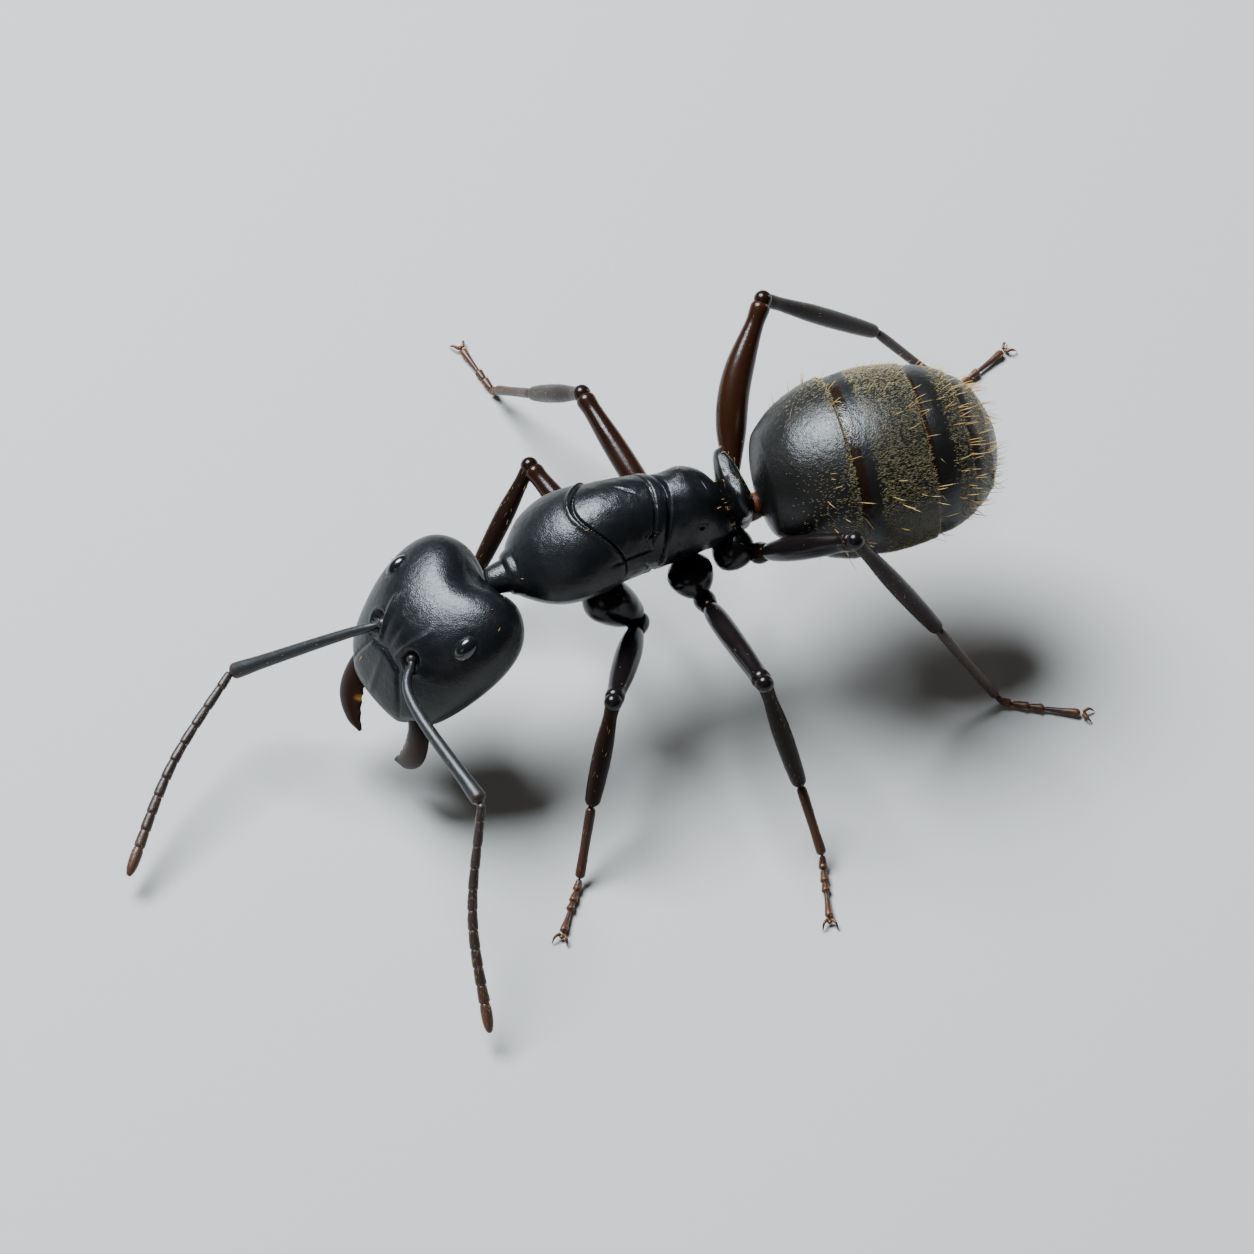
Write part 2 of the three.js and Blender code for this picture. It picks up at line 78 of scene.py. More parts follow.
# Coxa base, trochanter, knee, tibia end, basitarsus end, foot.
LEGS = {
    "l1": [
        (0.42, -0.62, 3.12), (0.48, 0.23, 2.08), (2.51, -1.06, 2.82),
        (3.19, -1.74, 1.13), (3.85, -2.23, 0.3), (4.73, -2.88, 0.17),
    ],
    "r1": [
        (-0.42, -0.62, 3.12), (-0.48, 0.23, 2.08), (-2.82, -0.46, 2.68),
        (-2.09, -1.75, 1.25), (-2.0, -2.5, 0.32), (-2.3, -3.4, 0.17),
    ],
    "l2": [
        (0.46, 1.02, 3.25), (0.73, 1.24, 2.48), (3.53, 1.23, 3.43),
        (4.02, 1.68, 1.02), (5.0, 1.68, 0.4), (6.12, 1.34, 0.17),
    ],
    "r2": [
        (-0.46, 1.02, 3.25), (-0.73, 1.24, 2.48), (-3.55, 0.79, 3.21),
        (-5.27, 0.53, 1.4), (-6.43, 0.3, 0.42), (-7.68, 0.12, 0.17),
    ],
    "l3": [
        (0.42, 1.6, 3.34), (0.6, 2.26, 2.98), (2.81, 3.13, 5.47),
        (2.67, 4.73, 2.17), (3.01, 5.7, 0.38), (3.77, 6.94, 0.17),
    ],
    "r3": [
        (-0.42, 1.6, 3.34), (-0.6, 2.26, 2.98), (-3.02, 3.89, 4.88),
        (-3.7, 6.28, 2.18), (-3.5, 7.58, 0.42), (-4.05, 8.87, 0.17),
    ],
}
ANTENNAE = {
    "l": [(3.8, -3.89, 3.07), (5.0, -4.55, 1.72), (6.4, -4.82, 0.44)],
    "r": [(-1.33, -6.46, 1.68), (-0.2, -7.95, 1.2), (1.15, -9.24, 0.46)],
}
# How far the middle of a femur or of a scape stands off the straight line.
FEMUR_BOW = {"r3": (-0.08, -0.2, 0)}
SCAPE_BOW = {"l": (-0.12, -0.32, 0), "r": (0, 0, 0.04)}


# ---- Shape helpers ----


def vec(*values):
    return np.array(values, float)


def unit(v):
    return v / np.maximum(np.linalg.norm(v, axis=-1, keepdims=True), 1e-12)


def step(x, low, high):
    s = np.clip((x - low) / (high - low), 0, 1)
    return s * s * (3 - 2 * s)


def along(stations, t):
    """A smooth curve through (place, value) stations."""
    xs = np.array([s[0] for s in stations], float)
    vs = np.array([s[1] for s in stations], float)
    t = np.clip(np.asarray(t, float), 0, 1)
    slopes = np.empty_like(vs)
    slopes[1:-1] = (vs[2:] - vs[:-2]) / (xs[2:] - xs[:-2])
    slopes[0] = (vs[1] - vs[0]) / (xs[1] - xs[0])
    slopes[-1] = (vs[-1] - vs[-2]) / (xs[-1] - xs[-2])
    i = np.clip(np.searchsorted(xs, t, side="right") - 1, 0, len(xs) - 2)
    span = xs[i + 1] - xs[i]
    s = (t - xs[i]) / span
    s2, s3 = s * s, s * s * s
    return (
        (2 * s3 - 3 * s2 + 1) * vs[i]
        + (s3 - 2 * s2 + s) * slopes[i] * span
        + (3 * s2 - 2 * s3) * vs[i + 1]
        + (s3 - s2) * slopes[i + 1] * span
    )


def blunt(t, power):
    return np.maximum(0, 1 - np.abs(2 * t - 1) ** power) ** (1 / power)


def round_ends(count):
    return (1 - np.cos(np.pi * np.linspace(0, 1, count))) / 2


def round_power(x, squareness):
    return np.sign(x) * np.abs(x) ** (2 / squareness)


def curve(points, count):
    """Evenly spaced points on a smooth curve through the given ones."""
    p = np.array(points, float)
    if len(p) == 2:
        return p[0] + (p[1] - p[0]) * np.linspace(0, 1, count)[:, None]
    ends = np.vstack([2 * p[0] - p[1], p, 2 * p[-1] - p[-2]])
    fine = []
    for i in range(1, len(ends) - 2):
        s = np.linspace(0, 1, 40, endpoint=False)[:, None]
        a, b, c, d = ends[i - 1 : i + 3]
        bent = 2 * b + (c - a) * s + (2 * a - 5 * b + 4 * c - d) * s**2 + (3 * b - a - 3 * c + d) * s**3
        fine.append(0.5 * bent)
    fine = np.vstack([*fine, p[-1:]])
    run = np.concatenate([[0], np.cumsum(np.linalg.norm(np.diff(fine, axis=0), axis=1))])
    want = np.linspace(0, run[-1], count)
    return np.stack([np.interp(want, run, fine[:, k]) for k in range(3)], 1)


def normals(grid):
    across = np.roll(grid, -1, 1) - np.roll(grid, 1, 1)
    down = np.gradient(grid, axis=0)
    n = unit(np.cross(across, down))
    middle = grid.mean(1, keepdims=True)
    return n if ((grid - middle) * n).sum() > 0 else -n


def ring_frame(centres, up=(0, 0, 1)):
    tangent = unit(np.gradient(centres, axis=0))
    wide = unit(np.cross(tangent, np.array(up, float)))
    return tangent, wide, np.cross(wide, tangent)


def ringed(centres, half, above, below, sides, squareness=2, up=(0, 0, 1), shift=None):
    """A grid of points in rings round a path, with its own width and heights at each ring."""
    tangent, wide, high = ring_frame(centres, up)
    angle = np.linspace(0, 2 * np.pi, sides, endpoint=False)[None, :]
    across = round_power(np.cos(angle), squareness)
    upward = round_power(np.sin(angle), squareness)
    x = half[:, None] * across
    z = np.where(upward > 0, above[:, None], below[:, None]) * upward
    grid = centres[:, None] + wide[:, None] * x[..., None] + high[:, None] * z[..., None]
    if shift is not None:
        grid = grid + tangent[:, None] * shift(x)[..., None]
    return grid


def limb(points, radii, count, sides):
    """A slender closed limb through the points with rounded ends."""
    centres = curve(points, 400)
    length = np.linalg.norm(np.diff(centres, axis=0), axis=1).sum()
    cap = radii[0][1] / length
    tail = radii[-1][1] / length
    ends = (1 - np.cos(np.linspace(0, np.pi / 2, 7))) * cap
    tails = 1 - (1 - np.cos(np.linspace(0, np.pi / 2, 7))) * tail
    places = np.concatenate([ends, np.linspace(cap, 1 - tail, count)[1:-1], tails[::-1]])
    spots = np.stack([np.interp(places, np.linspace(0, 1, 400), centres[:, k]) for k in range(3)], 1)
    near = np.minimum(1, np.minimum(places / cap, (1 - places) / tail))
    r = along(radii, places) * np.sqrt(np.maximum(0, 1 - (1 - near) ** 2))
    return ringed(spots, r, r, r, sides), places


class Skin:
    """Collects closed grids into one mesh object."""

    def __init__(self, name):
        self.name = name
        self.points, self.faces, self.tones, self.count = [], [], [], 0

    def add(self, grid, tone=0.0):
        rings, sides = grid.shape[:2]
        tone = np.asarray(tone, float)
        if tone.ndim == 1:
            tone = tone[:, None]
        tone = np.broadcast_to(tone, (rings, sides))
        flat = grid.reshape(-1, 3)
        start = self.count
        index = np.arange(rings * sides).reshape(rings, sides) + start
        a, b = index[:-1], index[1:]
        right_a, right_b = np.roll(a, -1, 1), np.roll(b, -1, 1)
        quads = np.stack([a, right_a, right_b, b], -1).reshape(-1, 4)
        first, last = start + rings * sides, start + rings * sides + 1
        n = normals(grid)
        middle = (rings // 2) * sides
        q = quads[middle] - start
        face = np.cross(flat[q[1]] - flat[q[0]], flat[q[3]] - flat[q[0]])
        flip = face @ n.reshape(-1, 3)[q[0]] < 0
        caps = [(first, index[0, (k + 1) % sides], index[0, k]) for k in range(sides)]
        caps += [(last, index[-1, k], index[-1, (k + 1) % sides]) for k in range(sides)]
        if flip:
            quads = quads[:, ::-1]
            caps = [c[::-1] for c in caps]
        self.points += [flat, grid[0].mean(0)[None], grid[-1].mean(0)[None]]
        self.tones += [tone.reshape(-1), tone[0, :1], tone[-1, :1]]
        self.faces += [tuple(f) for f in quads.tolist()] + [tuple(int(v) for v in c) for c in caps]
        self.count += rings * sides + 2

    def build(self, material, nodes, slot):
        points = (np.vstack(self.points) + SHIFT) * MM
        mesh = bpy.data.meshes.new(self.name)
        mesh.from_pydata(points.tolist(), [], self.faces)
        mesh.polygons.foreach_set("use_smooth", [True] * len(mesh.polygons))
        tone = mesh.attributes.new("tone", "FLOAT", "POINT")
        tone.data.foreach_set("value", np.concatenate(self.tones).astype(np.float32))
        mesh.materials.append(material)
        made = bpy.data.objects.new(self.name, mesh)
        bpy.context.scene.collection.objects.link(made)
        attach(made, "root")
        if nodes:
            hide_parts(*nodes)


# ---- Materials ----


def tone_ramp(nodes, links, stops):
    source = nodes.new("ShaderNodeAttribute")
    source.attribute_name = "tone"
    ramp = nodes.new("ShaderNodeValToRGB")
    while len(ramp.color_ramp.elements) < len(stops):
        ramp.color_ramp.elements.new(0.5)
    for element, (place, colour) in zip(ramp.color_ramp.elements, stops):
        element.position = place
        element.color = (*colour, 1)
    links.new(source.outputs["Fac"], ramp.inputs["Fac"])
    return ramp.outputs["Color"]


def remap(nodes, links, source, before, after):
    """Scales a value from one range to another."""
    node = nodes.new("ShaderNodeMapRange")
    node.inputs["From Min"].default_value, node.inputs["From Max"].default_value = before
    node.inputs["To Min"].default_value, node.inputs["To Max"].default_value = after
    links.new(source, node.inputs["Value"])
    return node.outputs["Result"]


# Grains and clouds to the metre, and the depth of the relief in metres.
GRAIN_SCALE = 9000
CLOUD_SCALE = 1400
RELIEF_DEPTH = 0.00002


def cuticle(name, stops, rough, bump, glow=0.0, specular=0.5, polish=0.0):
    """Insect shell: colour along the part, clouded, with fine leathery relief."""
    material = bpy.data.materials.new(name)
    material.use_nodes = True
    nodes, links = material.node_tree.nodes, material.node_tree.links
    shader = nodes["Principled BSDF"]
    place = nodes.new("ShaderNodeTexCoord").outputs["Object"]
    clouds = nodes.new("ShaderNodeTexNoise")
    clouds.inputs["Scale"].default_value = CLOUD_SCALE
    clouds.inputs["Detail"].default_value = 4
    links.new(place, clouds.inputs["Vector"])
    mix = nodes.new("ShaderNodeMix")
    mix.data_type = "RGBA"
    mix.blend_type = "MULTIPLY"
    mix.inputs["Factor"].default_value = 0.5
    links.new(tone_ramp(nodes, links, stops), mix.inputs[6])
    links.new(remap(nodes, links, clouds.outputs["Fac"], (0, 1), (0.45, 1.5)), mix.inputs[7])
    links.new(mix.outputs[2], shader.inputs["Base Color"])
    # Roughness follows the clouds, and brown parts are smoother by polish.
    gloss = nodes.new("ShaderNodeAttribute")
    gloss.attribute_name = "tone"
    rough_now = nodes.new("ShaderNodeMath")
    rough_now.operation = "MULTIPLY"
    links.new(remap(nodes, links, clouds.outputs["Fac"], (0.3, 0.7), rough), rough_now.inputs[0])
    links.new(remap(nodes, links, gloss.outputs["Fac"], (0.2, 0.45), (1, 1 - polish)), rough_now.inputs[1])
    links.new(rough_now.outputs["Value"], shader.inputs["Roughness"])
    cells = nodes.new("ShaderNodeTexVoronoi")
    cells.feature = "DISTANCE_TO_EDGE"
    cells.inputs["Scale"].default_value = GRAIN_SCALE * 3
    links.new(place, cells.inputs["Vector"])
    low = nodes.new("ShaderNodeTexNoise")
    low.inputs["Scale"].default_value = GRAIN_SCALE
    low.inputs["Detail"].default_value = 3
    links.new(place, low.inputs["Vector"])
    both = nodes.new("ShaderNodeMath")
    both.operation = "MULTIPLY_ADD"
    both.inputs[1].default_value = 0.5
    links.new(cells.outputs["Distance"], both.inputs[0])
    links.new(low.outputs["Fac"], both.inputs[2])
    relief = nodes.new("ShaderNodeBump")
    relief.inputs["Strength"].default_value = bump
    relief.inputs["Distance"].default_value = RELIEF_DEPTH
    links.new(both.outputs["Value"], relief.inputs["Height"])
    links.new(relief.outputs["Normal"], shader.inputs["Normal"])
    shader.inputs["Specular IOR Level"].default_value = specular
    shader.inputs["Subsurface Weight"].default_value = glow
    shader.inputs["Subsurface Radius"].default_value = (1.0, 0.35, 0.12)
    shader.inputs["Subsurface Scale"].default_value = 0.0002
    return material


BLACK = cuticle(
    "cuticle_black",
    [(0, (0.005, 0.0056, 0.0065)), (0.6, (0.011, 0.007, 0.006)), (1, (0.11, 0.034, 0.012))],
    (0.27, 0.37),
    bump=0.45,
    specular=0.36,
)
GASTER_LOOK = cuticle(
    "cuticle_gaster",
    [(0, (0.0065, 0.006, 0.0055)), (0.5, (0.012, 0.006, 0.003)), (1, (0.07, 0.03, 0.009))],
    (0.29, 0.37),
    bump=0.5,
    specular=0.42,
    polish=0.4,
)
LIMB = cuticle(
    "cuticle_limb",
    [
        (0, (0.005, 0.0045, 0.005)),
        (0.3, (0.012, 0.005, 0.003)),
        (0.6, (0.055, 0.014, 0.004)),
        (1, (0.2, 0.06, 0.014)),
    ],
    (0.17, 0.26),
    bump=0.15,
    glow=0.02,
    specular=0.26,
)
SHIN = cuticle(
    "cuticle_shin",
    [
        (0, (0.009, 0.006, 0.005)),
        (0.3, (0.02, 0.008, 0.004)),
        (0.6, (0.07, 0.02, 0.006)),
        (1, (0.2, 0.06, 0.014)),
    ],
    (0.22, 0.32),
    bump=0.15,
    specular=0.08,
)
FEELER = cuticle(
    "cuticle_feeler",
    [(0, (0.012, 0.013, 0.014)), (0.6, (0.03, 0.016, 0.011)), (1, (0.12, 0.045, 0.015))],
    (0.36, 0.46),
    bump=0.3,
    specular=0.45,
)
FOOT = cuticle(
    "cuticle_foot",
    [(0, (0.014, 0.008, 0.006)), (0.5, (0.05, 0.018, 0.008)), (1, (0.17, 0.06, 0.018))],
    (0.32, 0.45),
    bump=0.2,
    glow=0.05,
    specular=0.4,
)
HORN = cuticle(
    "jaw_horn",
    [(0, (0.007, 0.004, 0.0035)), (0.5, (0.024, 0.009, 0.004)), (1, (0.4, 0.17, 0.03))],
    (0.34, 0.46),
    bump=0.12,
    specular=0.16,
)


def eye_look():
    material = bpy.data.materials.new("eye_facets")
    material.use_nodes = True
    nodes, links = material.node_tree.nodes, material.node_tree.links
    shader = nodes["Principled BSDF"]
    place = nodes.new("ShaderNodeTexCoord").outputs["Object"]
    facets = nodes.new("ShaderNodeTexVoronoi")
    facets.inputs["Scale"].default_value = 42000
    facets.inputs["Randomness"].default_value = 0.35
    links.new(place, facets.inputs["Vector"])
    ramp = nodes.new("ShaderNodeValToRGB")
    ramp.color_ramp.elements[0].color = (0.01, 0.011, 0.013, 1)
    ramp.color_ramp.elements[1].color = (0.004, 0.004, 0.005, 1)
    ramp.color_ramp.elements[1].position = 0.8
    links.new(facets.outputs["Distance"], ramp.inputs["Fac"])
    links.new(ramp.outputs["Color"], shader.inputs["Base Color"])
    relief = nodes.new("ShaderNodeBump")
    relief.invert = True
    relief.inputs["Strength"].default_value = 0.2
    relief.inputs["Distance"].default_value = 0.000004
    links.new(facets.outputs["Distance"], relief.inputs["Height"])
    links.new(relief.outputs["Normal"], shader.inputs["Normal"])
    shader.inputs["Roughness"].default_value = 0.2
    shader.inputs["Specular IOR Level"].default_value = 0.4
    shader.inputs["Coat Weight"].default_value = 0.6
    shader.inputs["Coat Roughness"].default_value = 0.12
    return material


EYE = eye_look()


def hair_look(name, root, tip):
    """Bristle: darker at the root, pale and glassy at the tip."""
    material = bpy.data.materials.new(name)
    material.use_nodes = True
    nodes, links = material.node_tree.nodes, material.node_tree.links
    shader = nodes["Principled BSDF"]
    links.new(tone_ramp(nodes, links, [(0, root), (1, tip)]), shader.inputs["Base Color"])
    shader.inputs["Roughness"].default_value = 0.35
    shader.inputs["Subsurface Weight"].default_value = 0.3
    shader.inputs["Subsurface Radius"].default_value = (1, 0.6, 0.3)
    shader.inputs["Subsurface Scale"].default_value = 0.00003
    return material


GOLD = hair_look("bristle_gold", (0.35, 0.17, 0.035), (0.85, 0.58, 0.2))
LEG_HAIR = hair_look("bristle_leg", (0.1, 0.05, 0.015), (0.45, 0.28, 0.11))
DOWN = hair_look("down_gold", (0.08, 0.06, 0.028), (0.6, 0.49, 0.23))


# ---- Head ----


def turn(axis, angle):
    c, s = math.cos(angle), math.sin(angle)
    if axis == "z":
        return np.array([[c, -s, 0], [s, c, 0], [0, 0, 1]])
    return np.array([[1, 0, 0], [0, c, -s], [0, s, c]])


HEAD_TURN = turn("z", HEAD_YAW) @ turn("x", HEAD_PITCH) @ np.diag([1.0, -1.0, 1.0])


def from_head(points):
    return points @ HEAD_TURN.T + HEAD_AT


def head_capsule():
    t = np.unique(np.concatenate([round_ends(150), np.linspace(0.02, 0.98, 130)]))
    t = t[(t > 0.0008) & (t < 0.9992)]
    end = blunt(t, 5)
    centres = np.stack([t * 0, t * HEAD_LENGTH, t * 0], 1)

    def notch(x):
        rear = np.maximum(0, 1 - t / 0.5)[:, None] ** 2
        return OCCIPUT_NOTCH * rear * np.exp(-((x / 0.5) ** 2))

    grid = ringed(
        centres,
        HEAD_HALF_WIDTH * along(HEAD_WIDTHS, t) * end,
        HEAD_TOP * along(HEAD_TOPS, t) * end,
        HEAD_UNDER * along(HEAD_UNDERS, t) * end,
        260,
        2.2,
        shift=notch,
    )
    out = normals(grid)
    x, y, z = grid[..., 0], grid[..., 1], grid[..., 2]
    side = np.abs(x)
    face = step(z, 0.15, 0.4)
    push = np.zeros_like(x)
    # Clypeus: a raised shield with a keel, set off by a groove.
    shield_half = 0.36 + 0.34 * step(y, 1.9, 2.75)
    edge = np.maximum(side - shield_half, 1.98 - y + 0.25 * side)
    push += face * step(-edge, -0.02, 0.12) * 0.024
    push -= face * np.exp(-((edge / 0.03) ** 2)) * 0.018
    push += face * np.exp(-((x / 0.07) ** 2)) * step(y, 2.0, 2.3) * 0.018
    # Frontal ridges over the feeler sockets and the line between them.
    ridge_x = 0.25 + 0.23 * step(1.98 - y, 0, 0.8) - 0.06 * step(1.2 - y, 0, 0.4)
    ridge = np.exp(-(((side - ridge_x) / 0.055) ** 2)) * step(y, 0.95, 1.6) * (1 - step(y, 1.92, 2.08))
    push += face * ridge * 0.05
    lobe = np.exp(-(((side - 0.12) / 0.16) ** 2) - ((y - 1.7) / 0.32) ** 2)
    push += face * lobe * 0.035
    push -= face * np.exp(-((x / 0.02) ** 2)) * step(y, 0.9, 1.2) * (1 - step(y, 1.85, 1.95)) * 0.008
    socket = np.sqrt((side - SOCKET_AT[0] - 0.07) ** 2 + (y - SOCKET_AT[1]) ** 2)
    push -= face * np.exp(-((socket / 0.15) ** 4)) * 0.1
    push += face * np.exp(-(((socket - 0.2) / 0.04) ** 2)) * 0.018
    # A faint line round each eye.
    far = np.sqrt(
        ((side - EYE_AT[0]) / (EYE_HALF[0] + 0.03)) ** 2
        + ((y - EYE_AT[1]) / (EYE_HALF[1] + 0.02)) ** 2
        + ((z - EYE_AT[2]) / (EYE_HALF[2] + 0.02)) ** 2
    )
    push -= np.exp(-(((far - 1.02) / 0.07) ** 2)) * 0.007
    # Jaw seat, cheek line, and the seam and mouth hollow under the head.
    jaw = np.sqrt((side - 0.86) ** 2 + (y - 2.7) ** 2 + (z + 0.05) ** 2)
    push -= np.exp(-((jaw / 0.24) ** 4)) * 0.09
    cheek = np.exp(-(((z + 0.12 - 0.12 * (y - 1.6)) / 0.03) ** 2)) * step(y, 1.3, 2.0) * step(side, 0.6, 0.9)
    push -= cheek * 0.015
    under = step(-z, 0.2, 0.45)
    push -= under * np.exp(-((x / 0.03) ** 2)) * step(y, 0.4, 0.8) * 0.035
    push -= under * step(y, 1.95, 2.25) * (1 - step(side, 0.36, 0.5)) * 0.16
    grid = grid + out * push[..., None]
    tone = 0.25 * step(y, 2.45, 2.9) + 0.5 * np.exp(-((jaw / 0.3) ** 2))
    return grid, tone


head_grid, head_tone = head_capsule()
HEAD_SKIN = from_head(head_grid)
head = Skin("head_capsule")
head.add(HEAD_SKIN, head_tone)
head.build(BLACK, ["head"], "shell")


def dome(centre, radii, rings=40, sides=64):
    run = (2 * round_ends(rings)[1:-1] - 1)[:, None]
    r = np.sqrt(np.maximum(0, 1 - run**2))
    angle = np.linspace(0, 2 * np.pi, sides, endpoint=False)[None, :]
    grid = np.stack([r * np.cos(angle), run + 0 * angle, r * np.sin(angle)], -1)
    return grid * np.array(radii) + np.array(centre)


for name, sign in (("l", 1), ("r", -1)):
    eye = Skin("compound_eye_" + name)
    eye.add(from_head(dome(EYE_AT * vec(sign, 1, 1), EYE_HALF * vec(1.0, 0.98, 1.0))))
    eye.build(EYE, ["eye_" + name], "eye")


JAW_HINGE = np.array([-0.74, 2.6, -0.1])


def jaw_piece(name, sign, opened, lean):
    """A stout curved jaw, low teeth on its inner edge that fade towards its root and tip."""
    count = 90
    spine = curve(
        [(0.02, -0.14, 0), (-0.1, 0.25, 0), (-0.03, 0.68, 0), (0.2, 0.98, -0.01), (0.49, 1.15, -0.02)],
        count,
    )
    t = np.linspace(0, 1, count)
    rounded = np.sqrt(np.clip(1 - (1 - np.minimum(1, t / 0.06)) ** 2, 0.02, 1))
    width = along([(0, 0.19), (0.25, 0.22), (0.55, 0.26), (0.8, 0.17), (1, 0.03)], t) * rounded
    thick = along([(0, 0.16), (0.3, 0.15), (0.7, 0.11), (1, 0.03)], t) * rounded
    _, wide, high = ring_frame(spine)
    angle = np.linspace(0, 2 * np.pi, 40, endpoint=False)[None, :]
    blade = np.cos(angle) * width[:, None]
    inner = np.cos(angle) > 0
    saw = np.abs(((t * 7.2) % 1) - 0.5)[:, None] * 2
    toothed = step(t, 0.38, 0.5)[:, None] * (1 - step(t, 0.9, 1.0)[:, None])
    blade = blade + inner * np.abs(np.cos(angle)) ** 3 * toothed * (0.035 * saw - 0.02)
    keen = 1 - 0.45 * inner * np.abs(np.cos(angle)) ** 2 * toothed
    grid = spine[:, None] + wide[:, None] * blade[..., None]
    grid = grid + high[:, None] * (np.sin(angle) * thick[:, None] * keen)[..., None]
    grid = grid @ turn("z", math.radians(opened)).T
    grid = grid @ turn("x", math.radians(lean)).T
    grid = (grid + JAW_HINGE) * vec(-sign, 1, 1)
    patch = np.exp(-(((t - 0.62) / 0.06) ** 2))[:, None] * np.maximum(0, np.cos(angle)) ** 2
    tone = 0.1 + 0.25 * step(t, 0.2, 0.5)[:, None] * (1 - step(t, 0.7, 1))[:, None] + 0.65 * patch
    jaw = Skin("jaw_" + name)
    jaw.add(from_head(grid), tone)
    jaw.build(HORN, ["mandible_" + name], "jaw")


jaw_piece("l", 1, 14, -34)
jaw_piece("r", -1, -8, -14)

mouth = Skin("mouthparts_palps")
mouth.add(from_head(dome((0, 2.42, -0.4), (0.34, 0.36, 0.2))), 0.3)
mouth.add(from_head(dome((0, 2.66, -0.36), (0.17, 0.17, 0.13))), 0.6)
for sign in (1, -1):
    start = vec(sign * 0.26, 2.45, -0.5)
    for k in range(4):
        reach = start + vec(sign * (0.03 + 0.02 * k), 0.13 - 0.02 * k, -0.05 + 0.01 * k)
        ends = [from_head(start), from_head(reach)]
        segment, places = limb(ends, [(0, 0.032), (0.6, 0.036), (1, 0.026)], 8, 10)
        mouth.add(segment, 0.5 + 0.3 * places)
        start = reach
mouth.build(HORN, ["mouthparts"], "jaw")


# ---- Mesosoma ----


